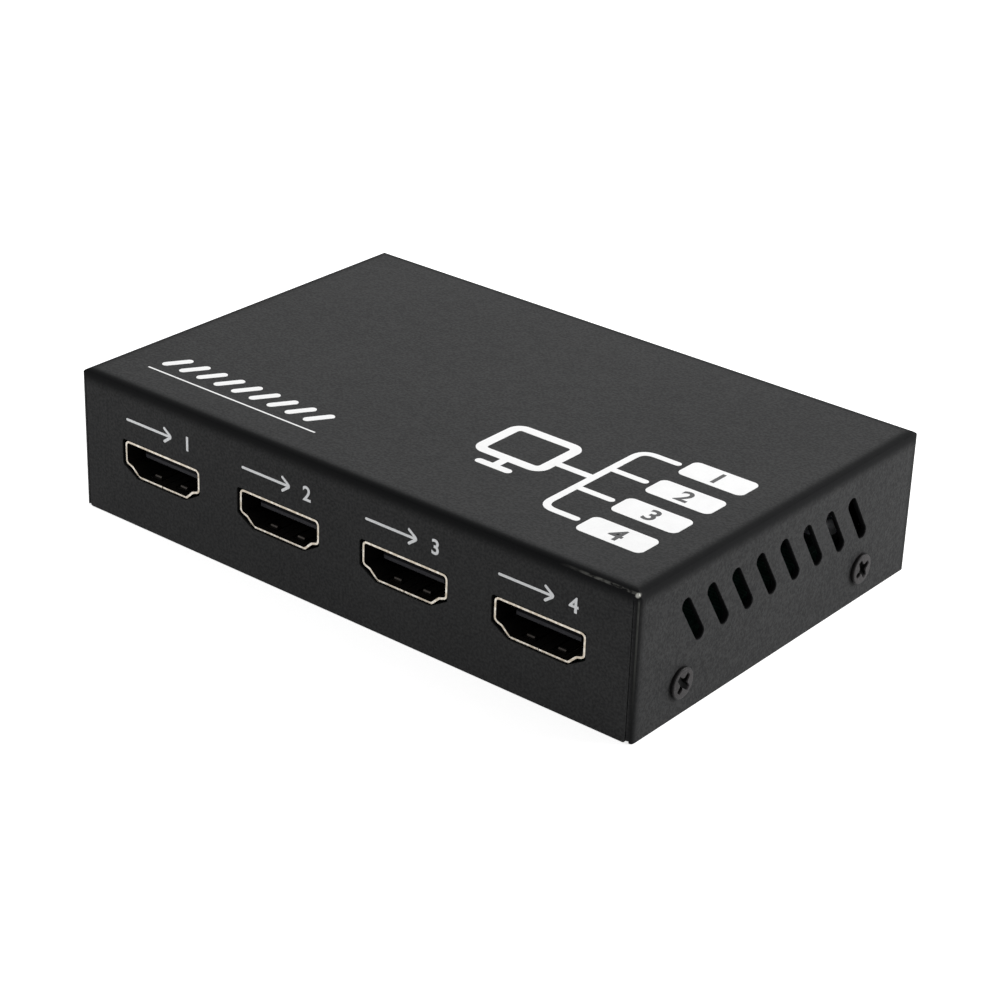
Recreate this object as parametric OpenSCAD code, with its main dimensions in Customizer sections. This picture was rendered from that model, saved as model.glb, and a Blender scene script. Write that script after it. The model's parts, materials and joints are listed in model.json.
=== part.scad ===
// Four-way video splitter in a folded steel housing.
// X runs along the row of outputs, Y from the output side to the input side, Z up.
// The origin is the middle of the underside. All sizes are in millimetres.

/* [Housing] */
// Length of the housing, along the row of outputs
case_l = 98; // [94:0.5:130]
// Depth of the housing, from the output side to the input side
case_d = 64; // [62:0.5:90]
// Height of the housing
case_h = 21.3; // [19.5:0.1:30]
// Thickness of the steel sheet
sheet = 0.8; // [0.6:0.1:1.2]
// Inside radius of every fold
fold_r = 0.4; // [0.2:0.1:1]
// Outside radius of the four upright corners
corner_r = 0.8; // [0.3:0.1:1]
// Radius of the lower corners of each wall
foot_r = 0.4; // [0.2:0.1:3]
// Width of the slit where two walls meet
slit_w = 0.12; // [0.08:0.02:0.3]
// Gap between the cover and the base plate, all round
seat_gap = 0.1; // [0.05:0.05:0.3]
// Height of the base plate's flanges above the axes of the cover screws
flange_rise = 3; // [2.5:0.1:4]

/* [Vents] */
// Number of slots in each end wall
vent_count = 8; // [4:1:9]
// Distance between neighbouring slots
vent_pitch = 5.4; // [4:0.1:6]
// Width of a slot
vent_w = 2; // [1:0.05:2.5]
// Distance between the centres of a slot's round ends
vent_run = 6.2; // [4:0.1:8]
// Lean of a slot from upright, its top towards the outputs
vent_lean = 32; // [0:1:45]
// Height of the middle of the slots, as a share of the housing's height
vent_share = 0.615; // [0.58:0.005:0.7]
// Distance of the slots' and screws' middle line from the middle of the depth
end_shift = 1.3; // [0:0.1:3]

/* [Cover screws] */
// Distance between the two screws of an end wall, as a share of the housing's depth
cover_screw_share = 0.65; // [0.5:0.01:0.7]
// Height of the screws above the table
cover_screw_z = 4.8; // [4.2:0.1:5.5]
// Diameter of the thread
cover_screw_d = 2.5; // [2:0.1:3]
// Length under the head
cover_screw_l = 4; // [3:0.5:6]
// Diameter of the head
cover_head_d = 4.4; // [4:0.1:6]
// Height of the head
cover_head_h = 0.6; // [0.5:0.1:1.5]

/* [Circuit board] */
// Thickness of the circuit board
board_t = 1.6; // [1:0.2:2]
// Gap between the board and the long walls
board_gap = 0.9; // [0.5:0.1:1.5]
// Height of the standoffs between the base plate and the board
standoff_h = 4.7; // [4.4:0.1:5.5]
// Diameter of the standoffs
standoff_d = 5; // [4.8:0.1:6]
// Diameter of the board screws' thread
board_screw_d = 3; // [2.5:0.1:3]
// Length of the board screws under the head
board_screw_l = 5; // [4:0.5:6]
// Diameter of the board screws' heads
board_head_d = 5.4; // [5:0.1:6]
// Height of the board screws' heads
board_head_h = 2; // [1.5:0.1:2.5]

/* [Video sockets] */
// Distance between the first output and the end of the housing
port_end = 15.4; // [13:0.1:20]
// Distance of the row's middle from the middle of the length
port_shift = 0.2; // [0:0.1:1]
// Distance of the input socket from the middle of the length
input_x = 2; // [0:0.5:6]
// Inside width of a shell
socket_w = 14; // [13:0.1:15]
// Inside height of a shell
socket_h = 4.55; // [4.3:0.05:5]
// Thickness of the shell's metal
shell_t = 0.3; // [0.25:0.05:0.5]
// Length of a shell, from its mouth to its back
shell_l = 12; // [11.5:0.1:13]
// Gap between the board and a shell
shell_lift = 0.4; // [0.1:0.1:0.6]
// Distance of the mouths behind the face of the wall
mouth_recess = 0.3; // [0.2:0.05:0.7]
// Gap between a shell and its cut-out in the wall
cutout_gap = 0.3; // [0.2:0.05:0.8]
// Width of the tongue
tongue_w = 10.4; // [10:0.1:11.4]
// Thickness of the tongue
tongue_t = 1.4; // [1.2:0.1:1.6]
// Gap between the tongue and the upper wall of the shell
tongue_gap = 1.15; // [0.8:0.05:1.2]
// Distance of the tongue's tip behind the mouth
tongue_recess = 1.9; // [1:0.1:2]
// Distance between neighbouring contacts of a row
contact_pitch = 1; // [0.9:0.05:1.05]
// Width of a contact
contact_w = 0.3; // [0.2:0.05:0.35]
// Thickness of a contact
contact_t = 0.15; // [0.1:0.05:0.2]

/* [Power jack] */
// Distance of the jack's axis from the end of the housing
jack_end = 14; // [12:0.5:18]
// Width of the body
jack_w = 9; // [8.5:0.1:10]
// Gap between the body's front collar and the roof of the housing
jack_clear = 2.4; // [2:0.1:3]
// Length of the body
jack_l = 14.2; // [13.5:0.1:15]
// Height of the jack's axis above the middle of the collar
jack_lift = 1; // [0.6:0.1:1.2]
// Diameter of the jack's bore
jack_bore_d = 6.3; // [5.8:0.1:6.6]
// Diameter of the centre pin
jack_pin_d = 2; // [1.6:0.1:2.5]
// Gap between the bore's edge and the edge of the hole in the wall
jack_rim = 0.85; // [0.5:0.05:1]

/* [Power switch] */
// Distance of the switch from the power jack
switch_gap = 14; // [10:0.5:16]
// Travel of the knob
switch_travel = 2; // [1.5:0.1:2.5]
// Width of the knob's finger piece
knob_w = 1.8; // [1.4:0.1:2.2]
// Height of the knob's finger piece
knob_h = 1.6; // [1.2:0.1:1.8]
// Gap round the knob in its windows
knob_gap = 0.3; // [0.2:0.05:0.4]

/* [Indicators] */
// Distance of the first indicator from the input socket
lamp_gap = 17; // [15:0.5:20]
// Distance of the last indicator from the end of the housing
lamp_end = 9.2; // [7:0.2:12]
// Diameter of a lens
lamp_d = 2; // [1.6:0.1:2.4]

/* [Hidden] */
$fn = 48;

// Colours, as seen in daylight
black_paint = "#37383a";
black_plastic = "#1b1b1d";
nickel = "#cfc8ba";
gold = "#c9a54a";
steel = "#9a9ca0";
brass = "#b89a4c";
board_black = "#16201c";
lamp_green = "#9fd8a4";
pad_grey = "#b9bcc4";
bakelite = "#6b4a2c";
ferrite = "#3c3b3a";
ceramic = "#a08a68";

// Overrun of every cut past the face that it starts from
over = 0.5;
// Gap of pieces that seat in each other
fit_gap = 0.03;
// Gap of pieces that drop past each other
drop_gap = 0.2;
// Length of every leg under the board
leg_out = 0.6;

// Housing
bend_r = fold_r + sheet;
inner_x = case_l / 2 - sheet;
inner_y = case_d / 2 - sheet;
plate_x = inner_x - seat_gap;
plate_y = inner_y - seat_gap;
// Distance of a flange's end from the base plate's corner
flange_inset = 4;
flange_y = plate_y - flange_inset;
flange_top = cover_screw_z + flange_rise;
// Width of the notch beside a fold
notch_w = 0.8;
cover_screw_pitch = case_d * cover_screw_share;
vent_z = case_h * vent_share;

// Circuit board
// Gap between the tip of a cover screw and the board
tip_gap = 0.7;
board_x = case_l / 2 - cover_screw_l - tip_gap;
board_y = inner_y - board_gap;
board_bottom = sheet + standoff_h;
board_top = board_bottom + board_t;
board_corner_r = 1;
// Distances of the front and back standoffs from the board's short edges
standoff_insets = [8.3, 3.8];
// Distance of the front standoffs behind the mouths of the outputs
standoff_front = 18.5;
// Distances of the back ones before the input's mouth: one keeps clear of the power jack
standoff_backs = [19.4, 9.7];
// Diameter of the standoff's foot in the base plate
rivet_d = 3.6;

// Video sockets
port_count = 4;
port_pitch = (case_l - 2 * port_end) / (port_count - 1);
mouth_y = case_d / 2 - mouth_recess;
floor_z = shell_lift + shell_t;
roof_z = floor_z + socket_h;
// Right half of the inside of a shell, as shares of its half width and its height
bay_shares = [[0.66, 0], [0.84, 0.26], [1, 0.34], [1, 1]];
bay_r = 0.45;
arc_steps = 4;
// Cut-out in the wall: the bevel of its lower corners, across and up
bevel_shares = [0.19, 0.3];
// Spring fingers in the upper and lower walls of a shell
finger_w = 1.8;
finger_l = 4.6;
finger_start = 1.3;
finger_share = 0.36;
finger_slit = 0.3;
bump_proud = 0.3;
bump_w = 1.2;
// Seam in the lower wall of a shell, with its dovetail
seam_w = 0.12;
dovetail_w = 1.4;
dovetail_l = 1.2;
dovetail_share = 0.6;
dovetail_start = 6.4;
// Legs of a shell
leg_w = 1.2;
leg_gap = 0.15;
leg_start = 2.6;
leg_pitch = 5.6;
// Block of the insulator behind the tongue
block_start = 5.2;
block_end = 9.6;
tip_bevel = 0.25;
tongue_top = roof_z - tongue_gap;
tongue_bottom = tongue_top - tongue_t;
// Contacts
contact_proud = 0.05;
contact_start = 0.6;
upper_count = 10;
lower_count = 9;
tail_gap = 0.6;
tail_l = 1.1;
tail_y = block_end + tail_gap;

// What stands behind the back wall
wall_inside = sheet - mouth_recess;
part_gap = 0.4;
set_back = wall_inside + part_gap;

// Power jack
jack_x = case_l / 2 - jack_end;
jack_h = case_h - sheet - board_top - jack_clear;
jack_axis = jack_h / 2 + jack_lift;
jack_front = wall_inside + drop_gap;
jack_collar = 3.4;
jack_barrel_r = 4.3;
jack_depth = 10;
jack_tip = 1.3;
lug_t = 0.4;
lug_w = 2.4;
spring_w = 2.4;
spring_t = 0.3;
spring_start = 2.4;
spring_rise = 0.5;
spring_end = 8.4;
spring_slot_gap = 0.25;

// Power switch
switch_x = jack_x - switch_gap;
switch_t = 0.3;
switch_l = 4.4;
switch_h = 4.4;
slider_w = 4.6;
slider_gap = 0.12;
slider_y = 1.9;
switch_inner = slider_w + switch_travel + 2 * slider_gap;
switch_w = switch_inner + 2 * switch_t;
switch_base_t = 0.9;
knob_reach = 0.15;
terminal_pitch = 2.5;
terminal_w = 0.6;
terminal_t = 0.3;
wiper_t = 0.15;
wiper_w = 3.4;
knob_z = switch_h / 2;
slot_corner_r = 0.4;

// Indicators
lamp_count = 5;
lamp_x = input_x + lamp_gap;
lamp_pitch = (case_l / 2 - lamp_end - lamp_x) / (lamp_count - 1);
lamp_z = 3;
lamp_w = 3;
lamp_l = 4;
lamp_h = 4.6;
lamp_reach = 0.25;
lamp_lens_l = 3.2;
lamp_hole_gap = 0.25;
lead_d = 0.45;
lead_pitch = 1.27;

// Chips: length, width and height of the bodies, then the pitch and number of leads a side
chip_size = [14, 14, 1.4];
chip_lead_pitch = 0.8;
chip_lead_count = 16;
memory_size = [4.9, 3.9, 1.5];
controller_size = [10.3, 3.9, 1.5];
small_lead_pitch = 1.27;
memory_lead_count = 4;
controller_lead_count = 8;
regulator_size = [6.5, 3.5, 1.6];
regulator_lead_pitch = 2.3;
regulator_lead_count = 3;
chip_lift = 0.1;
chip_bevel = 0.25;
lead_w = 0.35;
lead_t = 0.15;
lead_out = 1;
pad_t = 0.4;

// Heat sink
sink_w = 20;
sink_base = 1.5;
sink_h = 6.5;
fin_count = 8;
fin_t = 0.8;

// Other parts on the board
inductor_size = [6, 6, 3];
inductor_base = 0.8;
can_d = 6.3;
can_h = 5.4;
can_neck_share = 0.9;
can_base_w = 6.6;
can_base_h = 0.8;
can_groove = 0.35;
crystal_size = [10.2, 3.8, 3.2];
crystal_flange = 0.45;
crystal_flange_h = 0.4;
chip_part_size = [0.8, 1.6, 0.5];
chip_part_pitch = 1.5;
chip_part_count = 8;
chip_part_row = 2.4;

// Places on the board, as shares of its half length and half depth
chip_share = [0, 0];
controller_share = [-0.43, 0.06];
memory_share = [0.41, 0.33];
regulator_shares = [[-0.68, 0.3], [-0.68, 0.05]];
crystal_share = [0.41, -0.2];
inductor_share = [-0.74, -0.22];
// Second coil, and the row of cans: their distances before the input's mouth
coil_back = 18.2;
coil_x_share = -0.4;
can_back = 10.7;
can_x_shares = [-0.51, -0.29];
inductor_spots = [
  board_spot(inductor_share), [coil_x_share * board_x, mouth_y - coil_back, board_top]
];
can_spots = [for (share = can_x_shares) [share * board_x, mouth_y - can_back, board_top]];

// Vector of length one along v
function unit(v) = v / norm(v);

// Outline p with every edge moved outwards by d. The points run counterclockwise.
function grown(p, d) = [
  for (i = [0 : len(p) - 1])
    let (
      a = p[(i + len(p) - 1) % len(p)],
      b = p[i],
      c = p[(i + 1) % len(p)],
      ab = unit(b - a),
      bc = unit(c - b),
      m = [ab.y, -ab.x],
      n = [bc.y, -bc.x]
    )
    b + d * (m + n) / (1 + m * n)
];

// Outline p with every corner rounded to radius r, as short chords of a true arc
function softened(p, r) = [
  for (i = [0 : len(p) - 1])
    let (
      b = p[i],
      u = unit(p[(i + len(p) - 1) % len(p)] - b),
      v = unit(p[(i + 1) % len(p)] - b),
      half = acos(u * v) / 2,
      centre = b + unit(u + v) * r / sin(half),
      first = b + u * r / tan(half) - centre,
      last = b + v * r / tan(half) - centre,
      start = atan2(first.y, first.x),
      turn = atan2(last.y, last.x) - start,
      sweep = turn > 180 ? turn - 360 : turn < -180 ? turn + 360 : turn
    )
    for (k = [0 : arc_steps])
      centre + r * [cos(start + sweep * k / arc_steps), sin(start + sweep * k / arc_steps)]
];

// Whole outline from the shares of its right half, on a floor at height z
function mirrored(shares, half_w, h, z) = concat(
  [for (s = shares) [s.x * half_w, z + s.y * h]],
  [for (i = [len(shares) - 1 : -1 : 0]) [-shares[i].x * half_w, z + shares[i].y * h]]
);

// Inside of a shell, seen from its mouth
bay = mirrored(bay_shares, socket_w / 2, socket_h, floor_z);

// Distance of output number i from the middle of the length
function port_x(i) = port_shift + (i - (port_count + 1) / 2) * port_pitch;

// Distance along a row of count things, a pitch apart, from the row's middle
function row_x(i, count, pitch) = (i - (count - 1) / 2) * pitch;

// Place on the board
function board_spot(share) = [share.x * board_x, share.y * board_y, board_top];

// Children stand on the board behind a mouth of the output side
module at_front(x) {
  translate([x, -mouth_y, board_top]) children();
}

// Children stand on the board behind a mouth of the input side
module at_back(x) {
  translate([x, mouth_y, board_top]) rotate(180) children();
}

// Children start at the front of the power jack, inside the back wall
module at_jack() {
  at_back(-jack_x) translate([0, jack_front, 0]) children();
}

// Outline in X and Z drawn out along Y, from y for a length
module along_y(y, length) {
  translate([0, y + length, 0]) rotate([90, 0, 0]) linear_extrude(length) children();
}

// Outline in Y and Z drawn out along X, centred, to a width
module along_x(width) {
  rotate([90, 0, 90]) translate([0, 0, -width / 2]) linear_extrude(width) children();
}

// Block centred on X, from y and z
module block(width, y, length, z, height) {
  translate([-width / 2, y, z]) cube([width, length, height]);
}

// Rectangle with its two upper corners rounded
module arch(w, h, r) {
  translate([-w / 2, 0]) square([w, h - r]);
  translate([-w / 2 + r, 0]) square([w - 2 * r, h]);
  for (side = [-1, 1]) translate([side * (w / 2 - r), h - r]) circle(r);
}

// Rectangle with four rounded corners, centred
module pad(w, d, r) {
  square([w, d - 2 * r], center = true);
  square([w - 2 * r, d], center = true);
  for (x = [-1, 1], y = [-1, 1]) translate([x * (w / 2 - r), y * (d / 2 - r)]) circle(r);
}

// Straight slot with round ends, along Y and centred
module slot(run, width) {
  square([width, run], center = true);
  for (side = [-1, 1]) translate([0, side * run / 2]) circle(width / 2);
}

// What is cut away to round a right corner at the origin, in the quarter right of it and above
module corner_cut(r) {
  difference() {
    translate([-over, -over]) square(r + over);
    translate([r, r]) circle(r);
  }
}

// Round head with a softened rim, from z up
module head(d, h, r) {
  rotate_extrude() {
    square([d / 2, h - r]);
    square([d / 2 - r, h]);
    intersection() {
      translate([d / 2 - r, h - r]) circle(r);
      square([d / 2, h]);
    }
  }
}

// Screw along Z with its head upwards; the underside of the head is at the origin
module screw(thread_d, length, head_d, head_h, arm_w) {
  difference() {
    union() {
      head(head_d, head_h, head_h / 2);
      translate([0, 0, -length]) cylinder(d = thread_d, h = length);
    }
    for (turn = [0, 90]) rotate(turn)
      translate([-thread_d / 2, -arm_w / 2, 0]) cube([thread_d, arm_w, head_h + over]);
  }
}

// Places of the cover screws. The children's Z axis points out of the end wall.
module at_cover_screws() {
  for (side = [-1, 1], way = [-1, 1])
    translate([side * case_l / 2, way * cover_screw_pitch / 2 - end_shift, cover_screw_z])
      rotate([0, side * 90, 0]) children();
}

// Places of the standoffs, on the base plate's underside
module at_standoffs() {
  for (i = [0, 1]) {
    ys = [standoff_front - mouth_y, mouth_y - standoff_backs[i]];
    for (j = [0, 1])
      translate([(i == 0 ? -1 : 1) * (board_x - standoff_insets[j]), ys[j], 0]) children();
  }
}

// Round rod along Z through the sheet, for a hole of diameter d
module hole(d, depth) {
  translate([0, 0, -depth - over]) cylinder(d = d, h = depth + 2 * over);
}

// Slanted slots of both end walls
module vents() {
  for (side = [-1, 1], i = [0 : vent_count - 1])
    translate([side * (inner_x + sheet / 2), row_x(i, vent_count, vent_pitch) - end_shift, vent_z])
      along_x(sheet + 2 * over) rotate(vent_lean) slot(vent_run, vent_w);
}

// Cut-out in a wall round a shell: a rectangle with bevelled lower corners
module socket_cutout() {
  low = shell_lift - cutout_gap / 2;
  high = roof_z + shell_t + cutout_gap;
  half_w = socket_w / 2 + shell_t + cutout_gap;
  cut = mirrored([[1 - bevel_shares.x * 2, 0], [1, bevel_shares.y], [1, 1]], half_w, high - low, low);
  along_y(-mouth_recess - over, sheet + 2 * over) polygon(softened(cut, bay_r));
}

// Openings of the back wall: power jack, switch and indicators
module back_openings() {
  at_back(-jack_x) along_y(-mouth_recess - over, sheet + 2 * over)
    translate([0, jack_axis]) circle(d = jack_bore_d + 2 * jack_rim);
  at_back(-switch_x) along_y(-mouth_recess - over, sheet + 2 * over)
    translate([0, knob_z])
      pad(knob_w + switch_travel + 2 * knob_gap, knob_h + 2 * knob_gap, slot_corner_r);
  for (i = [0 : lamp_count - 1]) at_back(lamp_x + i * lamp_pitch)
    along_y(-mouth_recess - over, sheet + 2 * over)
      translate([0, lamp_z]) circle(d = lamp_d + 2 * lamp_hole_gap);
}

// Slits at the upright corners: the end walls cover the ends of the long walls
module corner_slits() {
  for (x = [-1, 1], y = [-1, 1])
    translate([x * (inner_x - slit_w / 2), y * (inner_y + sheet / 2 + over / 2), -over])
      translate([-slit_w / 2, -(sheet + over) / 2, 0])
        cube([slit_w, sheet + over, case_h - bend_r + over]);
}

// Rounding of the lower corners of each wall
module foot_cuts() {
  for (x = [-1, 1], y = [-1, 1]) {
    translate([x * (inner_x - slit_w), y * (inner_y + sheet / 2), 0]) scale([-x, 1, 1])
      along_y(-sheet / 2 - over / 2, sheet + over) corner_cut(foot_r);
    translate([x * (inner_x + sheet / 2), y * case_d / 2, 0]) scale([1, -y, 1])
      along_x(sheet + slit_w) corner_cut(foot_r);
  }
}

// Five-sided cover, folded from one sheet
module top_cover() {
  color(black_paint) difference() {
    intersection() {
      along_y(-case_d / 2 - over, case_d + 2 * over) arch(case_l, case_h, bend_r);
      along_x(case_l + 2 * over) arch(case_d, case_h, bend_r);
      linear_extrude(case_h + over) pad(case_l, case_d, corner_r);
    }
    intersection() {
      translate([0, 0, -over]) {
        along_y(-inner_y, 2 * inner_y) arch(2 * inner_x, case_h - sheet + over, fold_r);
      }
      translate([0, 0, -over]) along_x(2 * inner_x) arch(2 * inner_y, case_h - sheet + over, fold_r);
    }
    vents();
    at_cover_screws() hole(cover_screw_d + 2 * drop_gap, sheet);
    for (i = [1 : port_count]) at_front(port_x(i)) socket_cutout();
    at_back(input_x) socket_cutout();
    back_openings();
    corner_slits();
    foot_cuts();
  }
}

// Base plate with an upturned flange at each end, tapped for the cover screws
module base_plate() {
  color(black_paint) difference() {
    union() {
      translate([-plate_x + bend_r, -plate_y, 0]) cube([2 * (plate_x - bend_r), 2 * plate_y, sheet]);
      for (side = [-1, 1]) scale([1, side, 1]) translate([-plate_x, flange_y + notch_w, 0])
        cube([2 * plate_x, plate_y - flange_y - notch_w, sheet]);
      difference() {
        along_y(-flange_y, 2 * flange_y)
          translate([0, flange_top]) scale([1, -1]) arch(2 * plate_x, flange_top, bend_r);
        along_y(-flange_y - over, 2 * (flange_y + over)) translate([0, flange_top + over]) scale([1, -1])
          arch(2 * (plate_x - sheet), flange_top + over - sheet, fold_r);
      }
    }
    at_cover_screws() translate([0, 0, -sheet - seat_gap]) hole(cover_screw_d + 2 * fit_gap, sheet);
    at_standoffs() translate([0, 0, sheet]) hole(rivet_d + 2 * fit_gap, sheet);
  }
}

module cover_screws() {
  color(black_paint) at_cover_screws()
    screw(cover_screw_d, cover_screw_l, cover_head_d, cover_head_h, cover_screw_d / 4);
}

// Threaded standoffs, riveted into the base plate
module board_standoffs() {
  color(brass) at_standoffs() difference() {
    union() {
      cylinder(d = rivet_d, h = sheet);
      translate([0, 0, sheet]) cylinder(d = standoff_d, h = standoff_h);
    }
    translate([0, 0, sheet]) cylinder(d = board_screw_d + 2 * fit_gap, h = standoff_h + over);
  }
}

module board_screws() {
  color(steel) at_standoffs() translate([0, 0, board_top])
    screw(board_screw_d, board_screw_l, board_head_d, board_head_h, board_screw_d / 4);
}

// Legs of a shell in plan, each grown by gap
module leg_plan(gap) {
  for (side = [-1, 1], y = [leg_start, leg_start + leg_pitch])
    translate([side * (socket_w + shell_t) / 2, y + leg_w / 2])
      square([shell_t + 2 * gap, leg_w + 2 * gap], center = true);
}

// Lug of the jack's pin, and leg of its spring, in plan
module jack_leg_plan(gap) {
  translate([0, jack_l + lug_t / 2]) square([lug_w + 2 * gap, lug_t + 2 * gap], center = true);
  translate([0, spring_end - spring_t / 2])
    square([spring_w + 2 * gap, spring_t + 2 * gap], center = true);
}

// Terminals of the switch in plan
module terminal_plan(gap) {
  for (i = [-1 : 1]) translate([i * terminal_pitch, set_back + switch_l + terminal_t])
    square([terminal_w + 2 * gap, terminal_t + 2 * gap], center = true);
}

// Legs of the switch's frame in plan
module frame_leg_plan(gap) {
  for (side = [-1, 1]) translate([side * (switch_w - switch_t) / 2, set_back + switch_l / 2])
    square([switch_t + 2 * gap, leg_w + 2 * gap], center = true);
}

// Leads of an indicator in plan
module lead_plan(gap) {
  for (side = [-1, 1]) translate([side * lead_pitch / 2, set_back + lamp_l + lead_d])
    circle(d = lead_d + 2 * gap);
}

// Holes through the board, from a plan at a mouth
module drill() {
  translate([0, 0, -board_t - over]) linear_extrude(board_t + 2 * over) children();
}

module circuit_board() {
  color(board_black) difference() {
    translate([0, 0, board_bottom]) linear_extrude(board_t)
      pad(2 * board_x, 2 * board_y, board_corner_r);
    at_standoffs() translate([0, 0, board_top]) hole(board_screw_d + drop_gap, board_t);
    for (i = [1 : port_count]) at_front(port_x(i)) drill() leg_plan(leg_gap);
    at_back(input_x) drill() leg_plan(leg_gap);
    at_jack() drill() jack_leg_plan(leg_gap);
    at_back(-switch_x) drill() terminal_plan(leg_gap);
    at_back(-switch_x) drill() frame_leg_plan(leg_gap);
    for (i = [0 : lamp_count - 1]) at_back(lamp_x + i * lamp_pitch) drill() lead_plan(leg_gap);
  }
}

// Slit round three sides of a spring finger, and none at its root
module finger_slits(z) {
  for (side = [-1, 1]) translate([side * finger_share * socket_w / 2, finger_start, z])
    difference() {
      block(finger_w + 2 * finger_slit, -finger_slit, finger_l + finger_slit, -over, shell_t + 2 * over);
      block(finger_w, 0, finger_l + over, -2 * over, shell_t + 4 * over);
    }
}

// Rolled bumps on the fingers, that press on a plug. Way is 1 where the socket lies above them.
module finger_bumps(z, way) {
  r = (shell_t + bump_proud) / 2;
  for (side = [-1, 1])
    translate([side * finger_share * socket_w / 2, finger_start + 2 * r, z + way * (bump_proud - r)])
      rotate([0, 90, 0]) cylinder(r = r, h = bump_w, center = true);
}

// Seam line along the lower wall, stepped round a dovetail
module shell_seam() {
  wide = dovetail_w / 2;
  narrow = wide * dovetail_share;
  along = [
    [-seam_w, dovetail_start], [-narrow, dovetail_start],
    [-wide, dovetail_start + dovetail_l], [-seam_w, dovetail_start + dovetail_l]
  ];
  translate([0, 0, shell_lift - over]) linear_extrude(shell_t + 2 * over) {
    translate([-seam_w / 2, -over]) square([seam_w, dovetail_start + over]);
    translate([-seam_w / 2, dovetail_start + dovetail_l])
      square([seam_w, block_end - dovetail_start - dovetail_l + over]);
    difference() {
      polygon(grown([along[1], [narrow, dovetail_start], [wide, along[2].y], along[2]], seam_w / 2));
      polygon(grown([along[1], [narrow, dovetail_start], [wide, along[2].y], along[2]], -seam_w / 2));
      translate([0, dovetail_start - seam_w]) square([wide * 2, dovetail_l + 2 * seam_w]);
    }
  }
}

// Shell of a type A socket: a folded tube with spring fingers, a seam, a back flap and legs
module socket_shell() {
  color(nickel) difference() {
    union() {
      difference() {
        along_y(0, shell_l) polygon(softened(grown(bay, shell_t), bay_r + shell_t));
        along_y(-over, shell_l + 2 * over) polygon(softened(bay, bay_r));
        finger_slits(shell_lift);
        finger_slits(roof_z);
      }
      finger_bumps(floor_z, 1);
      finger_bumps(roof_z, -1);
      block(socket_w - 2 * bay_r, shell_l - shell_t, shell_t, floor_z + socket_h / 3, socket_h * 2 / 3);
      translate([0, 0, -board_t - leg_out])
        linear_extrude(board_t + leg_out + floor_z + socket_h / 2) leg_plan(0);
    }
    shell_seam();
    block(socket_w + 2 * over + 2 * shell_t, block_end + fit_gap, shell_l, shell_lift - over,
      shell_t + over + bay_shares[2].y * socket_h);
  }
}

// Outline of a contact in Y and Z. It runs back from z, then down to a foot on the board.
function contact_outline(z) = [
  [tongue_recess + contact_start, z], [tail_y + contact_t, z],
  [tail_y + contact_t, contact_t], [tail_y + tail_l, contact_t],
  [tail_y + tail_l, 0], [tail_y, 0],
  [tail_y, z - contact_t], [tongue_recess + contact_start, z - contact_t]
];

// The children once for each contact of a row
module each_contact(count) {
  for (i = [0 : count - 1]) translate([row_x(i, count, contact_pitch), 0, 0]) children();
}

// Channel of a contact whose upper face is at z
module contact_channel(z) {
  block(contact_w + 2 * fit_gap, tongue_recess + contact_start - fit_gap,
    block_end, z - contact_t - fit_gap, contact_t + 2 * fit_gap);
}

// Insulator of a socket: a block in the shell with a bevelled tongue
module socket_insulator() {
  tip = tongue_recess;
  color(black_plastic) difference() {
    union() {
      along_y(block_start, block_end - block_start)
        polygon(softened(grown(bay, -fit_gap), bay_r - fit_gap));
      along_x(tongue_w) polygon([
        [tip, tongue_bottom + tip_bevel], [tip + tip_bevel, tongue_bottom],
        [block_end, tongue_bottom], [block_end, tongue_top],
        [tip + tip_bevel, tongue_top], [tip, tongue_top - tip_bevel]
      ]);
    }
    each_contact(upper_count) contact_channel(tongue_top + contact_proud);
    each_contact(lower_count) contact_channel(tongue_bottom + contact_t - contact_proud);
  }
}

// Nineteen contacts, ten above the tongue and nine below it
module socket_contacts() {
  color(gold) {
    each_contact(upper_count)
      along_x(contact_w) polygon(contact_outline(tongue_top + contact_proud));
    each_contact(lower_count)
      along_x(contact_w) polygon(contact_outline(tongue_bottom + contact_t - contact_proud));
  }
}

module output_1_shell() { at_front(port_x(1)) socket_shell(); }
module output_2_shell() { at_front(port_x(2)) socket_shell(); }
module output_3_shell() { at_front(port_x(3)) socket_shell(); }
module output_4_shell() { at_front(port_x(4)) socket_shell(); }
module input_shell() { at_back(input_x) socket_shell(); }

module output_1_insulator() { at_front(port_x(1)) socket_insulator(); }
module output_2_insulator() { at_front(port_x(2)) socket_insulator(); }
module output_3_insulator() { at_front(port_x(3)) socket_insulator(); }
module output_4_insulator() { at_front(port_x(4)) socket_insulator(); }
module input_insulator() { at_back(input_x) socket_insulator(); }

module output_1_contacts() { at_front(port_x(1)) socket_contacts(); }
module output_2_contacts() { at_front(port_x(2)) socket_contacts(); }
module output_3_contacts() { at_front(port_x(3)) socket_contacts(); }
module output_4_contacts() { at_front(port_x(4)) socket_contacts(); }
module input_contacts() { at_back(input_x) socket_contacts(); }

// Rod along Y at the jack's axis, from y for a length
module jack_rod(d, y, length) {
  translate([0, y, jack_axis]) rotate([-90, 0, 0]) cylinder(d = d, h = length);
}

// Body of the jack: a square collar, then a barrel on a foot
module power_jack_body() {
  color(black_plastic) at_jack() difference() {
    union() {
      block(jack_w, 0, jack_collar, 0, jack_h);
      block(jack_w, 0, jack_l, 0, jack_axis);
      jack_rod(2 * jack_barrel_r, 0, jack_l);
    }
    jack_rod(jack_bore_d, -over, jack_depth + over);
    jack_rod(jack_pin_d + 2 * fit_gap, jack_depth - over, jack_l);
    block(spring_w + 2 * spring_slot_gap, spring_start - spring_slot_gap,
      spring_end - spring_start + 2 * spring_slot_gap, -over, jack_axis + over);
  }
}

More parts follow.
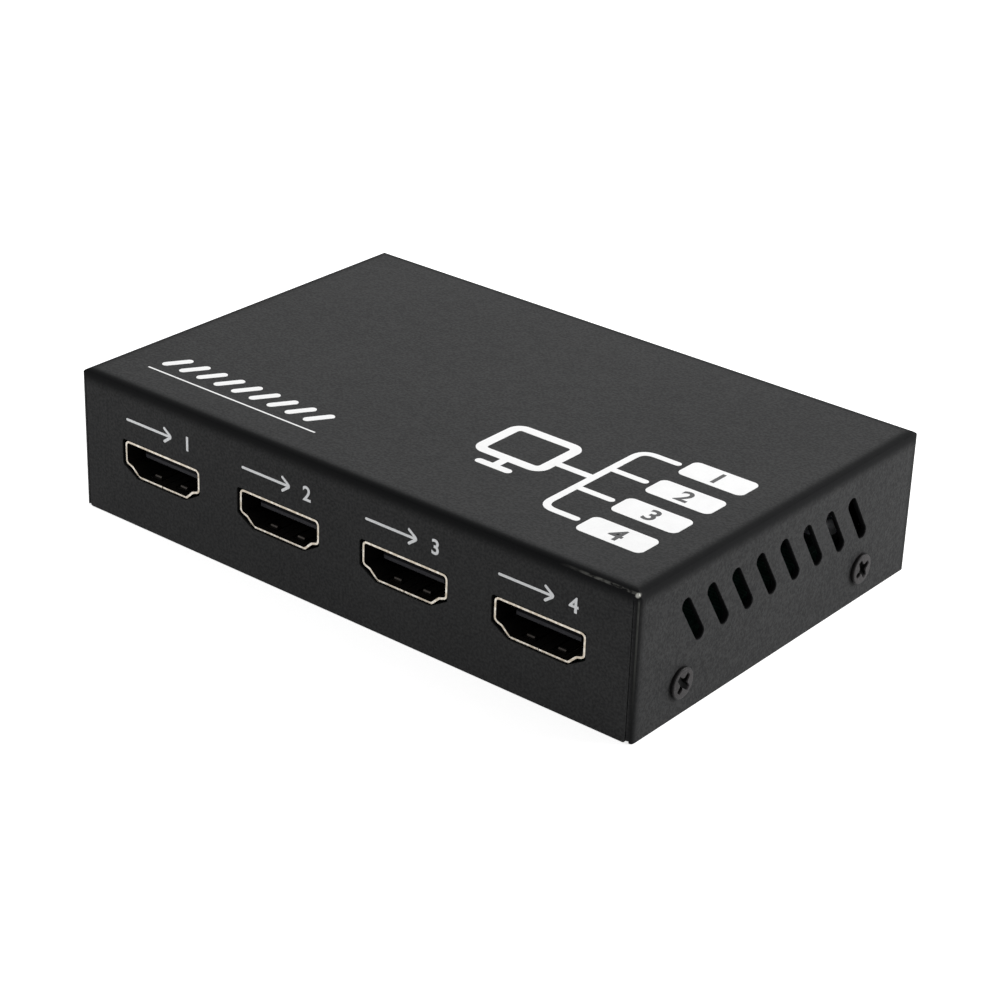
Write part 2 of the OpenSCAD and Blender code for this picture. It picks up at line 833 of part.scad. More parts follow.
// Centre pin with a domed tip, and its lug behind the body
module power_jack_pin() {
  r = jack_pin_d / 2;
  color(nickel) at_jack() {
    translate([0, jack_tip + r, jack_axis]) rotate([-90, 0, 0]) {
      cylinder(r = r, h = jack_l - jack_tip - r);
      sphere(r);
    }
    block(lug_w, jack_l, lug_t, -board_t - leg_out, board_t + leg_out + jack_axis + lug_w / 2);
  }
}

// Spring leaf that touches a plug's sleeve from below, and its leg
module power_jack_spring() {
  low = jack_axis - jack_bore_d / 2 - spring_rise;
  top = low + 2 * spring_rise;
  middle = (spring_start + spring_end) / 2;
  color(nickel) at_jack() along_x(spring_w) polygon([
    [spring_start, low], [middle, top], [spring_end, low], [spring_end, -board_t - leg_out],
    [spring_end - spring_t, -board_t - leg_out], [spring_end - spring_t, low - spring_t],
    [middle, top - spring_t], [spring_start, low - spring_t]
  ]);
}

// Frame of the switch: a bent sheet, open below and behind, with a window for the knob
module switch_frame() {
  color(steel) at_back(-switch_x) {
    difference() {
      block(switch_w, set_back, switch_l, 0, switch_h);
      block(switch_inner, set_back + switch_t, switch_l, -over, switch_h - switch_t + over);
      block(knob_w + switch_travel + 2 * knob_gap, set_back - over, switch_t + 2 * over,
        knob_z - knob_h / 2 - knob_gap, knob_h + 2 * knob_gap);
    }
    translate([0, 0, -board_t - leg_out]) linear_extrude(board_t + leg_out + switch_h / 2)
      frame_leg_plan(0);
  }
}

// Outline of a terminal in Y and Z: through the base, then down through the board
terminal_face = set_back + switch_l - switch_base_t - terminal_t / 2;
terminal_back = set_back + switch_l + terminal_t * 3 / 2;
terminal_outline = [
  [terminal_face, knob_z + terminal_t / 2], [terminal_back, knob_z + terminal_t / 2],
  [terminal_back, -board_t - leg_out], [terminal_back - terminal_t, -board_t - leg_out],
  [terminal_back - terminal_t, knob_z - terminal_t / 2], [terminal_face, knob_z - terminal_t / 2]
];

// Base of the switch, with the channels of its terminals
module switch_base() {
  color(bakelite) at_back(-switch_x) difference() {
    block(switch_inner - 2 * fit_gap, set_back + switch_l - switch_base_t, switch_base_t,
      0, switch_h - switch_t - fit_gap);
    for (i = [-1 : 1]) translate([i * terminal_pitch, 0, 0])
      block(terminal_w + 2 * fit_gap, set_back, switch_l + over,
        knob_z - terminal_t / 2 - fit_gap, terminal_t + 2 * fit_gap);
  }
}

module switch_terminals() {
  color(steel) at_back(-switch_x) for (i = [-1 : 1])
    translate([i * terminal_pitch, 0, 0]) along_x(terminal_w) polygon(terminal_outline);
}

// Knob, at rest at one end of its travel: a slider in the frame and a grooved finger piece
module switch_knob() {
  rest = switch_travel / 2;
  front = -mouth_recess + knob_reach;
  groove = knob_w / 8;
  color(black_plastic) at_back(-switch_x) translate([rest, 0, 0]) {
    block(slider_w, set_back + switch_t + slider_gap, slider_y,
      slider_gap, switch_h - switch_t - 2 * slider_gap);
    difference() {
      block(knob_w, front, set_back + switch_t + slider_y - front - slider_gap,
        knob_z - knob_h / 2, knob_h);
      for (side = [-1, 1]) translate([side * knob_w / 5, 0, 0])
        block(groove, front - over, over + groove, knob_z - knob_h / 2 - over, knob_h + 2 * over);
    }
  }
}

// Bridge of sprung metal, bowed between the slider and the terminals
module switch_wiper() {
  rest = switch_travel / 2;
  start = set_back + switch_t + slider_gap + slider_y;
  end = terminal_face - slider_gap;
  half = wiper_w / 2;
  color(nickel) at_back(-switch_x) translate([rest, 0, knob_z - knob_h / 2])
    linear_extrude(knob_h) polygon([
      [-half, end], [-half / 2, start], [half / 2, start], [half, end],
      [half - 2 * wiper_t, end], [half / 2 - wiper_t, start + wiper_t],
      [wiper_t - half / 2, start + wiper_t], [2 * wiper_t - half, end]
    ]);
}

// The children once for each indicator
module at_lamps() {
  for (i = [0 : lamp_count - 1]) at_back(lamp_x + i * lamp_pitch) children();
}

module indicator_housings() {
  color(black_plastic) at_lamps() difference() {
    block(lamp_w, set_back, lamp_l, 0, lamp_h);
    translate([0, set_back - over, lamp_z]) rotate([-90, 0, 0])
      cylinder(d = lamp_d + 2 * fit_gap, h = lamp_lens_l + fit_gap + over);
    for (side = [-1, 1]) translate([side * lead_pitch / 2, set_back, lamp_z]) rotate([-90, 0, 0])
      cylinder(d = lead_d + 2 * fit_gap, h = lamp_l + over);
  }
}

// Lenses with domed tips, that end inside the wall's holes
module indicator_lenses() {
  r = lamp_d / 2;
  start = -mouth_recess + lamp_reach;
  color(lamp_green) at_lamps() translate([0, start + r, lamp_z]) rotate([-90, 0, 0]) {
    cylinder(r = r, h = set_back + lamp_lens_l - start - r);
    sphere(r);
  }
}

// Leads from the lenses back and down through the board
module indicator_leads() {
  color(steel) at_lamps() for (side = [-1, 1]) translate([side * lead_pitch / 2, 0, 0]) {
    translate([0, set_back + lamp_lens_l, lamp_z]) rotate([-90, 0, 0])
      cylinder(d = lead_d, h = lamp_l - lamp_lens_l + lead_d);
    translate([0, set_back + lamp_l + lead_d, -board_t - leg_out])
      cylinder(d = lead_d, h = board_t + leg_out + lamp_z);
    translate([0, set_back + lamp_l + lead_d, lamp_z]) sphere(d = lead_d);
  }
}

// Body of a chip, its upper edges bevelled
module chip_body(size) {
  translate([0, 0, chip_lift]) intersection() {
    along_y(-size.y / 2, size.y) polygon([
      [-size.x / 2, 0], [size.x / 2, 0], [size.x / 2, size.z - chip_bevel],
      [size.x / 2 - chip_bevel, size.z], [chip_bevel - size.x / 2, size.z],
      [-size.x / 2, size.z - chip_bevel]
    ]);
    along_x(size.x) polygon([
      [-size.y / 2, 0], [size.y / 2, 0], [size.y / 2, size.z - chip_bevel],
      [size.y / 2 - chip_bevel, size.z], [chip_bevel - size.y / 2, size.z],
      [-size.y / 2, size.z - chip_bevel]
    ]);
  }
}

// Row of bent leads beside a body of half width edge: out, down and out again along Y
module lead_row(edge, height, count, pitch) {
  z = chip_lift + height / 2;
  knee = edge + lead_out / 2;
  for (i = [0 : count - 1]) translate([row_x(i, count, pitch), 0, 0])
    along_x(lead_w) polygon([
      [edge, z], [knee, z], [knee, lead_t], [edge + lead_out, lead_t], [edge + lead_out, 0],
      [knee - lead_t, 0], [knee - lead_t, z - lead_t], [edge, z - lead_t]
    ]);
}

module splitter_chip() {
  color(black_plastic) translate(board_spot(chip_share)) chip_body(chip_size);
}

module memory_chip() {
  color(black_plastic) translate(board_spot(memory_share)) chip_body(memory_size);
}

module controller_chip() {
  color(black_plastic) translate(board_spot(controller_share)) chip_body(controller_size);
}

module regulators() {
  color(black_plastic) for (share = regulator_shares)
    translate(board_spot(share)) chip_body(regulator_size);
}

// Leads of all the chips
module chip_leads() {
  color(steel) {
    translate(board_spot(chip_share)) for (turn = [0 : 90 : 270]) rotate(turn)
      lead_row(chip_size.x / 2, chip_size.z, chip_lead_count, chip_lead_pitch);
    translate(board_spot(memory_share)) for (turn = [0, 180]) rotate(turn)
      lead_row(memory_size.y / 2, memory_size.z, memory_lead_count, small_lead_pitch);
    translate(board_spot(controller_share)) for (turn = [0, 180]) rotate(turn)
      lead_row(controller_size.y / 2, controller_size.z, controller_lead_count, small_lead_pitch);
    for (share = regulator_shares) translate(board_spot(share)) {
      lead_row(regulator_size.y / 2, regulator_size.z, regulator_lead_count, regulator_lead_pitch);
      rotate(180) lead_row(regulator_size.y / 2, regulator_size.z, 1, regulator_lead_pitch);
    }
  }
}

module thermal_pad() {
  color(pad_grey) translate(board_spot(chip_share) + [0, 0, chip_lift + chip_size.z])
    block(chip_size.x - 2 * chip_bevel, chip_bevel - chip_size.y / 2, chip_size.y - 2 * chip_bevel,
      0, pad_t);
}

// Heat sink with straight fins along X
module heat_sink() {
  step = (sink_w - fin_t) / (fin_count - 1);
  color(black_paint) translate(board_spot(chip_share) + [0, 0, chip_lift + chip_size.z + pad_t]) {
    block(sink_w, -sink_w / 2, sink_w, 0, sink_base);
    for (i = [0 : fin_count - 1])
      block(sink_w, row_x(i, fin_count, step) - fin_t / 2, fin_t, 0, sink_h);
  }
}

// Shielded coils: a square foot under a round body
module power_inductors() {
  color(ferrite) for (spot = inductor_spots) translate(spot) {
    block(inductor_size.x, -inductor_size.y / 2, inductor_size.y, 0, inductor_base);
    cylinder(d = inductor_size.x - inductor_base, h = inductor_size.z);
  }
}

// Capacitor cans with the pressed groove over their bases
module capacitor_cans() {
  r = can_d / 2;
  color("silver") for (spot = can_spots)
    translate(spot + [0, 0, can_base_h]) rotate_extrude() difference() {
      square([r, can_h - can_base_h]);
      translate([r + can_groove / 2, can_base_h]) circle(can_groove);
    }
}

// Square bases under the cans, two corners cut
module capacitor_bases() {
  half = can_base_w / 2;
  cut = can_base_w / 6;
  color(black_plastic) for (spot = can_spots) translate(spot)
    linear_extrude(can_base_h) polygon([
      [-half, -half], [half, -half], [half, half - cut], [half - cut, half],
      [cut - half, half], [-half, half - cut]
    ]);
}

// Crystal in a flat metal can with a rim
module crystal_can() {
  run = crystal_size.x - crystal_size.y;
  color("silver") translate(board_spot(crystal_share)) rotate(90) {
    linear_extrude(crystal_flange_h) slot(run, crystal_size.y + 2 * crystal_flange);
    linear_extrude(crystal_size.z) slot(run, crystal_size.y);
  }
}

// Row of small capacitors and resistors behind each output
module chip_parts() {
  color(ceramic) for (port = [1 : port_count]) at_front(port_x(port))
    for (i = [0 : chip_part_count - 1])
      translate([row_x(i, chip_part_count, chip_part_pitch), 0, 0])
        block(chip_part_size.x, shell_l + chip_part_row - chip_part_size.y / 2, chip_part_size.y,
          0, chip_part_size.z);
}

top_cover();
base_plate();
cover_screws();
board_standoffs();
board_screws();
circuit_board();
output_1_shell();
output_1_insulator();
output_1_contacts();
output_2_shell();
output_2_insulator();
output_2_contacts();
output_3_shell();
output_3_insulator();
output_3_contacts();
output_4_shell();
output_4_insulator();
output_4_contacts();
input_shell();
input_insulator();
input_contacts();
power_jack_body();
power_jack_pin();
power_jack_spring();
switch_frame();
switch_base();
switch_terminals();
switch_knob();
switch_wiper();
indicator_housings();
indicator_lenses();
indicator_leads();
splitter_chip();
thermal_pad();
heat_sink();
memory_chip();
controller_chip();
regulators();
chip_leads();
power_inductors();
capacitor_cans();
capacitor_bases();
crystal_can();
chip_parts();
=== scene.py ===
# %% [markdown]
# A four-way video splitter, dressed for its picture. The real thing takes one video
# signal and sends it on to four screens. It is a folded steel box with a circuit board
# inside, a row of four sockets along one side, slanted vents in its ends, and an input
# socket, a power jack, a switch and five indicators behind. The solids come from the
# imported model, which this file never moves. What is made here is what a solid can't
# show: paint, print, plating, scratches, and the true shape of small screws.

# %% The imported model
import json
import math

import bmesh
import bpy
import numpy as np
from mathutils import Matrix, Vector


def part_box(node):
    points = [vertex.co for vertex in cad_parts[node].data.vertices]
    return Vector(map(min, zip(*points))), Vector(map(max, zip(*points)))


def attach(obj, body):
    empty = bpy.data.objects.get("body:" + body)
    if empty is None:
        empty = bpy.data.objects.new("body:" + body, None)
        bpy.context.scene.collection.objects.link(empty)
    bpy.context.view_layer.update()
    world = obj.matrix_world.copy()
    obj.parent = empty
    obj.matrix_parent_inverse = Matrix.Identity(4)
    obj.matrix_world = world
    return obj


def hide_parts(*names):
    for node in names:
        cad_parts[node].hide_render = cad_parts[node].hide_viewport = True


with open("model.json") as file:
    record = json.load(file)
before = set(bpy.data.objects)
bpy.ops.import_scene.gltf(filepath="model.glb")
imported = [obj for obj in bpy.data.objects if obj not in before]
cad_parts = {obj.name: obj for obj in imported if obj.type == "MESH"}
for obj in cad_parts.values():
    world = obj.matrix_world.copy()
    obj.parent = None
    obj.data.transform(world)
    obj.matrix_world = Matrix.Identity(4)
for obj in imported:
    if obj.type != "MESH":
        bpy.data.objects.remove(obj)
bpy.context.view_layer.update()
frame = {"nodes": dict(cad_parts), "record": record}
MM = 0.001
solids = frame["nodes"]

# %% [markdown]
# Places come from the solids themselves. A socket's middle is the middle of its shell,
# and the faces of the housing are the sides of its box, so nothing here has to be kept
# in step with the model by hand.


# %% Places on the housing
def low_high(name):
    """Lowest and highest corner of a solid, in millimetres, as two arrays."""
    low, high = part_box(name)
    return np.array(low) / MM, np.array(high) / MM


def middle_of(name):
    """Middle of a solid's box in millimetres, as three plain numbers."""
    return [float(v) for v in np.mean(low_high(name), axis=0)]


half_l, half_d, top_z = low_high("top_cover")[1]
outputs = [low_high(f"output_{i}_shell") for i in (1, 2, 3, 4)]
output_x = [(low[0] + high[0]) / 2 for low, high in outputs]
print("outputs at x", np.round(output_x, 2), "and the top at z", round(top_z, 2))

# %% [markdown]
# The camera stands where the photographer stood. Its place and its three axes were
# worked out from the corners of the box, the rows of sockets and the vents, so the
# outline of the model falls on the outline in the picture. The lens is long, which
# keeps the long edges nearly parallel, as in a product shot.

# %% Camera
eye = Vector((0.20836, -0.25999, 0.17104))
right = Vector((0.7721, 0.6347, 0.0325))
ahead = Vector((-0.5575, 0.7010, -0.4447)).normalized()
right = (right - ahead * right.dot(ahead)).normalized()
above = right.cross(ahead)
camera = bpy.data.objects.new("camera", bpy.data.cameras.new("camera"))
camera.data.lens = 94.76
camera.data.clip_start, camera.data.clip_end = 0.01, 20
camera.matrix_world = Matrix((
    (right.x, above.x, -ahead.x, eye.x),
    (right.y, above.y, -ahead.y, eye.y),
    (right.z, above.z, -ahead.z, eye.z),
    (0, 0, 0, 1)))
bpy.context.scene.collection.objects.link(camera)
bpy.context.scene.camera = camera
print("camera", round(eye.length / MM), "mm from the middle of the underside")

# %% [markdown]
# A finish is a graph of nodes, and a graph is a formula. So that it can be written as
# one, a small class wraps the output of a node, and its sums and products add Math
# nodes. A second class holds the material, and its one method `node` adds any other
# node: first its settings, then the values or links of its sockets.


# %% Wires and finishes
class Wire:
    """The output of a node. Arithmetic on wires adds Math nodes to their finish."""

    def __init__(self, finish, socket):
        self.finish, self.socket = finish, socket

    def math(self, operation, *values):
        return self.finish.node("ShaderNodeMath", {"operation": operation}, *values)

    def __add__(self, other):
        return self.math("ADD", self, other)

    def __radd__(self, other):
        return self.math("ADD", other, self)

    def __sub__(self, other):
        return self.math("SUBTRACT", self, other)

    def __rsub__(self, other):
        return self.math("SUBTRACT", other, self)

    def __mul__(self, other):
        return self.math("MULTIPLY", self, other)

    def __mod__(self, other):
        return self.math("FLOORED_MODULO", self, other)

    def __abs__(self):
        return self.math("ABSOLUTE", self)

    def least(self, other):
        return self.math("MINIMUM", self, other)

    def most(self, other):
        return self.math("MAXIMUM", self, other)

    def root(self):
        return self.math("SQRT", self)

    def rise(self, low, high):
        """0 below low and 1 above high, with a smooth step between. High may be below low."""
        return self.finish.node(
            "ShaderNodeMapRange", {"interpolation_type": "SMOOTHSTEP"}, self, low, high)


class Finish:
    """A material being made: a shader, and the nodes that vary it over a surface."""

    def __init__(self, name, **shader):
        self.material = bpy.data.materials.new(name)
        self.material.use_nodes = True
        self.tree = self.material.node_tree
        self.shader = self.tree.nodes["Principled BSDF"]
        self.set(**shader)
        here = self.node("ShaderNodeTexCoord", out="Object")
        self.mm = self.node("ShaderNodeVectorMath", {"operation": "SCALE"}, here, scale=1 / MM)
        self.x, self.y, self.z = (
            self.node("ShaderNodeSeparateXYZ", {}, self.mm, out=axis) for axis in "XYZ")

    def node(self, kind, settings=None, *values, out=0, **sockets):
        """Adds a node: its settings, its sockets in order, then sockets by name."""
        added = self.tree.nodes.new(kind)
        for name, value in (settings or {}).items():
            setattr(added, name, value)
        shown = [s for s in added.inputs if s.enabled]
        named = {s.name.lower().replace(" ", "_"): s for s in reversed(shown)}
        for target, value in [*zip(shown, values), *((named[n], v) for n, v in sockets.items())]:
            self.give(target, value)
        found = [s for s in added.outputs if s.enabled]
        return Wire(self, added.outputs[out] if isinstance(out, str) else found[out])

    def give(self, target, value):
        """Links a wire to a socket, or writes a plain value into it."""
        if isinstance(value, Wire):
            self.tree.links.new(value.socket, target)
        elif target.type == "RGBA" and len(value) == 3:
            target.default_value = (*value, 1)
        else:
            target.default_value = value

    def set(self, **sockets):
        """Sets sockets of the shader by their names in lower case."""
        named = {s.name.lower().replace(" ", "_"): s for s in self.shader.inputs}
        for name, value in sockets.items():
            self.give(named[name], value)

    def noise(self, size, detail=2.0, rough=0.5, at=None):
        """Soft noise from 0 to 1, with blotches about size millimetres across."""
        return self.node("ShaderNodeTexNoise", {}, at or self.mm,
                         scale=1 / size, detail=detail, roughness=rough)

    def cells(self, size):
        """Distance to the nearest point of a loose lattice, size millimetres apart."""
        return self.node("ShaderNodeTexVoronoi", {"feature": "F1"}, self.mm,
                         scale=1 / size, out="Distance")

    def stretched(self, x, y, z):
        """The place on the object in millimetres, scaled along each axis."""
        return self.node("ShaderNodeVectorMath", {"operation": "MULTIPLY"}, self.mm, (x, y, z))

    def mix(self, share, a, b):
        """Colour a where share is 0, and b where it is 1."""
        return self.node("ShaderNodeMix", {"data_type": "RGBA"}, factor=share, a=a, b=b)

    def bump(self, height, depth):
        """Normal of a surface raised by height times depth, in millimetres."""
        return self.node("ShaderNodeBump", {}, strength=1.0, distance=depth * MM, height=height)


print("a finish starts with", len(Finish("trial").tree.nodes), "nodes")
bpy.data.materials.remove(bpy.data.materials["trial"])

# %% [markdown]
# The housing is steel, sprayed with black powder that melts into a satin skin. Seen
# close, the skin has a fine grain like leather, over a slower orange peel. It could be
# one bump texture, but two sizes of noise and a sprinkle of finer dots look more like
# melted powder. On the folds the skin is smoother, and a soft dark band of painted shade
# runs along each edge of the top. The cut edges in the holes are painted darker still,
# as shade. The upright corners carry painted shade too, with a thin painted highlight
# down their middle. At the near corner, the tip and a thin, broken line along the last
# centimetre of the front fold are painted highlights, laid on as pale, half-bare steel.

# %% Powder coat
fold_line = 0.384


def powder_coat(name, painted_light):
    """The coat of one sheet. Its colour, gloss and bump are sums of a fine noise, a slow
    one and a lattice of dots. Painted light adds what depends on the distance to the
    faces: painted shade on the fold bands, in the holes and on the upright corners, a
    painted highlight down each upright corner, and at the near corner a painted highlight
    on the tip and along a line, which runs fold_line below the top."""
    coat = Finish(name, specular_ior_level=0.04)
    grain = coat.noise(0.40, 2, 0.6)
    peel = coat.noise(1.7, 2)
    dots = coat.cells(0.6).rise(0.34, 0.1)
    cloud = coat.noise(24, 3, 0.55)
    speckle = (grain.rise(0.34, 0.66) * 0.7 + peel.rise(0.3, 0.7) * 0.15
               + cloud.rise(0.3, 0.7) * 0.2)
    colour = coat.mix(speckle, (0.0175, 0.0177, 0.0182), (0.0420, 0.0422, 0.0425))
    rough = 0.56 + (grain - 0.5) * 0.2 + (cloud - 0.5) * 0.08
    height = grain * 0.8 + peel * 0.9 + dots * 0.3
    if painted_light:
        in_x, in_y, below = half_l - abs(coat.x), half_d - abs(coat.y), top_z - coat.z
        # Painted shade: the band along each fold of the top and the cut edges of the holes are
        # darkened in colour.
        folds = in_x.least(in_y).rise(2.2, 0.4) * below.rise(2.5, 0.5)
        cut = in_x.least(in_y).least(below).rise(0.06, 0.3)
        colour = coat.mix((folds * 0.94).most(cut), colour, (0.0046, 0.0048, 0.0052))
        # Painted shade on the upright corners.
        upright = in_x.rise(0.9, 0.4) * in_y.rise(1.7, 0.7)
        colour = coat.mix(upright * 0.7, colour, (0.010, 0.0102, 0.0106))
        # Painted highlight: a pale line down the middle of each upright corner, broken up by
        # noise.
        glint_breakup = coat.noise(0.8, 3, 0.7, coat.stretched(0.4, 1, 0.4))
        painted_upright_highlight = (abs(in_x - in_y).rise(0.26, 0.08) * upright
                  * below.rise(20, 3) * below.rise(0.8, 1.6))
        colour = coat.mix(painted_upright_highlight * (glint_breakup * 0.8 + 0.2), colour, (0.105, 0.107, 0.10))
        # Painted highlight at the near corner: a pale tip and a pale, broken line on the front
        # fold, laid on as half-bare steel through the share bare.
        near = coat.x.rise(half_l - 14, half_l - 2) * (coat.y + half_d).rise(0.9, 0.6)
        line = abs(below - fold_line).rise(0.18, 0.05) * near * glint_breakup.rise(0.34, 0.62)
        tip = coat.node("ShaderNodeVectorMath", {"operation": "DISTANCE"}, coat.mm,
                        (half_l - 0.5, -half_d + 0.3, top_z - 0.5), out="Value").rise(0.42, 0.2)
        bare = (line * 0.34).most(tip * 0.85)
        colour = coat.mix(bare, colour, (0.50, 0.50, 0.46))
        coat.set(metallic=bare * 0.3)
        rough = rough + folds * 0.16 - bare * 0.15
        height = height * (1 - folds * 0.6) - bare * 0.5
    coat.set(base_color=colour, roughness=rough, normal=coat.bump(height, 0.034))
    return coat.material


cover_coat = powder_coat("powder_coat_cover", True)
plate_coat = powder_coat("powder_coat_plate", False)


def dress(material, *names):
    """Gives solids their finish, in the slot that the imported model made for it."""
    for name in names:
        for place in solids[name].material_slots:
            place.material = material


dress(cover_coat, "top_cover")
dress(plate_coat, "base_plate")
print("powder coat:", len(cover_coat.node_tree.nodes), "nodes on the cover")

# %% [markdown]
# The shells of the sockets are folded from steel and plated with nickel, which has a
# warm, champagne tone next to black paint. The sheet was rolled before it was folded, so
# fine lines run along its length, and the plating is a little uneven. One metal with
# stretched noise does for every bare or plated part. Only the zinc on the board's screws
# has a dull, pale skin, which is what shows behind one of the vents.


# %% Plated and bare metals
def metal(name, colour, tint, rough, lines, along=(1, 1, 1), depth=0.004, patches=3.0,
          bare=1.0):
    """A metal with rolled lines. Along scales the noise, so a small number there draws
    the lines out in that direction. Bare falls below 1 under a chalky skin, as on zinc."""
    made = Finish(name, metallic=bare)
    drawn = made.noise(lines, 3, 0.6, made.stretched(*along))
    patch = made.noise(patches, 3, 0.6)
    spots = made.noise(0.5, 2).rise(0.68, 0.8)
    made.set(
        base_color=made.mix((patch * 0.7 + drawn * 0.5 - 0.1).rise(0.2, 0.9), colour, tint),
        roughness=rough + (drawn - 0.5) * 0.22 + (patch - 0.5) * 0.12 + spots * 0.08,
        normal=made.bump(drawn + spots * 0.3, depth))
    return made.material


nickel = metal("nickel_plate", (0.74, 0.70, 0.63), (0.60, 0.56, 0.50), 0.26, 0.12, (1, 0.06, 1))
gold = metal("gold_plate", (0.86, 0.66, 0.30), (0.74, 0.55, 0.24), 0.22, 0.08, (1, 0.1, 1))
steel = metal("bright_steel", (0.72, 0.72, 0.73), (0.58, 0.58, 0.60), 0.4, 0.2, (1, 1, 0.15))
zinc = metal("zinc_plate", (0.86, 0.87, 0.90), (0.62, 0.63, 0.66), 0.5, 0.4,
             patches=1.2, bare=0.3)
brass = metal("turned_brass", (0.72, 0.56, 0.30), (0.60, 0.45, 0.23), 0.28, 0.1, (0.2, 0.2, 1))
tin = metal("tinned_leads", (0.66, 0.66, 0.65), (0.50, 0.50, 0.49), 0.38, 0.3, depth=0.008)
aluminium = metal("can_aluminium", (0.78, 0.78, 0.79), (0.68, 0.68, 0.70), 0.3, 0.14,
                  (1, 1, 0.1))
metals = (nickel, gold, steel, zinc, brass, tin, aluminium)
shells = [f"output_{i}_shell" for i in (1, 2, 3, 4)] + ["input_shell"]
dress(nickel, "power_jack_pin", "power_jack_spring", "switch_wiper")
dress(gold, *[name.replace("shell", "contacts") for name in shells])
dress(steel, "switch_frame", "crystal_can")
dress(zinc, "board_screws")
dress(brass, "board_standoffs")
dress(tin, "chip_leads", "indicator_leads", "switch_terminals")
dress(aluminium, "capacitor_cans")
print(len(metals), "metals on",
      sum(solid.data.materials[0] in metals for solid in solids.values()), "nodes")

# %% [markdown]
# The mouths of the sockets are what the eye goes to: a thin champagne line round a black
# hole. The line is the cut rim of the shell, polished by every plug that touched it.
# Behind the rim the plating is rougher, and the colour falls off with the distance behind
# the mouth as painted shade inside the shell. That distance is the only thing that this
# finish adds.

# %% Shells of the sockets
mouth_y = -outputs[0][0][1]


def shell_finish():
    """Drawn nickel, bright on the cut rim, where the distance behind the mouth is
    nothing, and darkened by painted shade as soon as that distance grows."""
    made = Finish("socket_nickel", metallic=1.0)
    drawn = made.noise(0.14, 3, 0.6, made.stretched(1, 0.08, 1))
    behind = (mouth_y - abs(made.y)).rise(0.0, 0.08)
    worn = made.noise(0.6, 3, 0.6).rise(0.3, 0.62)
    rim = made.mix(worn, (0.76, 0.72, 0.65), (0.46, 0.40, 0.32))
    # The dark colour behind the mouth is painted shade inside the shell.
    made.set(base_color=made.mix(behind, rim, (0.028, 0.025, 0.023)),
             roughness=0.24 + behind * 0.2 + (drawn - 0.5) * 0.12,
             normal=made.bump(drawn, 0.0015))
    return made.material


dress(shell_finish(), *shells)
print("the mouths stand at", round(mouth_y, 2), "mm from the middle")

# %% [markdown]
# Moulded plastics differ by what was cut into the mould and by what was mixed in. The
# power jack came from a spark-eroded mould and is faintly grained, and the knob of the
# switch is smoother from being pushed. The resin of the chips holds glass, which shows as
# pale short flecks. One function with a share for each of these does for all six.


# %% Moulded plastics
def plastic(name, dark, light, rough, grain, depth, flecks=0.0, gloss=0.5):
    """A moulded surface: fine grain and a slow cloud share its two colours, and flecks
    are noise drawn out along the first axis and cut off at its peaks."""
    made = Finish(name, metallic=0.0, specular_ior_level=gloss)
    mould = made.noise(grain, 3, 0.6)
    cloud = made.noise(grain * 14, 2)
    fleck = made.noise(0.07, 2, 0.5, made.stretched(1, 0.16, 1)).rise(0.66, 0.72) * flecks
    colour = made.mix((mould * 0.5 + cloud * 0.5).rise(0.25, 0.75), dark, light)
    made.set(
        base_color=made.mix(fleck, colour, (0.28, 0.27, 0.25)),
        roughness=rough + (mould - 0.5) * 0.18 + (cloud - 0.5) * 0.1,
        normal=made.bump(mould, depth))
    return made.material


jack_plastic = plastic("jack_plastic", (0.011, 0.011, 0.012), (0.02, 0.02, 0.021),
                       0.4, 0.2, 0.01)
knob_plastic = plastic("knob_plastic", (0.016, 0.016, 0.017), (0.027, 0.027, 0.028),
                       0.34, 0.3, 0.006)
laminate = plastic("brown_laminate", (0.13, 0.07, 0.032), (0.19, 0.105, 0.05),
                   0.55, 0.35, 0.012)
resin = plastic("chip_resin", (0.016, 0.016, 0.017), (0.03, 0.03, 0.031),
                0.62, 0.1, 0.009, flecks=0.12, gloss=0.3)
rubber = plastic("pad_rubber", (0.36, 0.37, 0.41), (0.43, 0.44, 0.48),
                 0.75, 0.25, 0.02, gloss=0.3)
ferrite = plastic("ferrite", (0.045, 0.043, 0.041), (0.075, 0.072, 0.068),
                  0.7, 0.16, 0.02, flecks=0.1)
dress(jack_plastic, "power_jack_body", "indicator_housings", "capacitor_bases")
dress(knob_plastic, "switch_knob")
dress(laminate, "switch_base")
dress(resin, "splitter_chip", "memory_chip", "controller_chip", "regulators")
dress(rubber, "thermal_pad")
dress(ferrite, "power_inductors")
print("moulded parts dressed")

# %% [markdown]
# The tongue in a socket is what the plug closes over. Its body is as black as the rest
# of the insulator, but the lower half of its tip is painted a soft grey for the light that
# falls on it, and that dim bar of painted light is all that can be seen of it in the
# shade of the shell.


# %% Insulators of the sockets
def insulator_finish():
    """Black, but for a painted grey light that fades in over the last part of the tongue
    and below the middle of its tip."""
    made = Finish("socket_plastic", specular_ior_level=0.02)
    tip_y, tip_z = -low_high("output_1_insulator")[0][1], 10.62
    fibre = made.noise(0.12, 2, 0.5, made.stretched(0.4, 1, 1))
    # Painted light: the grey on the lower half of the tongue's tip.
    painted_tip_light = (tip_y - abs(made.y)).rise(0.3, 0.02) * made.z.rise(tip_z, tip_z - 0.16)
    painted_tip_light = painted_tip_light * (fibre * 0.8 + 0.4)
    made.set(base_color=made.mix(painted_tip_light, (0.004, 0.004, 0.005), (0.058, 0.058, 0.064)),
             roughness=0.4 + (fibre - 0.5) * 0.25, normal=made.bump(fibre, 0.003))
    return made.material


dress(insulator_finish(), *[name.replace("shell", "insulator") for name in shells])
print("tongues dressed")

# %% [markdown]
# The board is glass cloth in resin under a green-black lacquer. Copper tracks stand a few
# hundredths of a millimetre proud of it, so they show as slightly lighter ridges. Drawing
# each one would take a file of its own. Two lattices of straight lines, cut on and off by
# a blocky noise, give a believable net of tracks, and a third lattice gives the plated
# holes that join them. The small parts on it are fired ceramic with tinned ends, the heat
# sink is milled and anodised black, and the lenses let some of the light through.


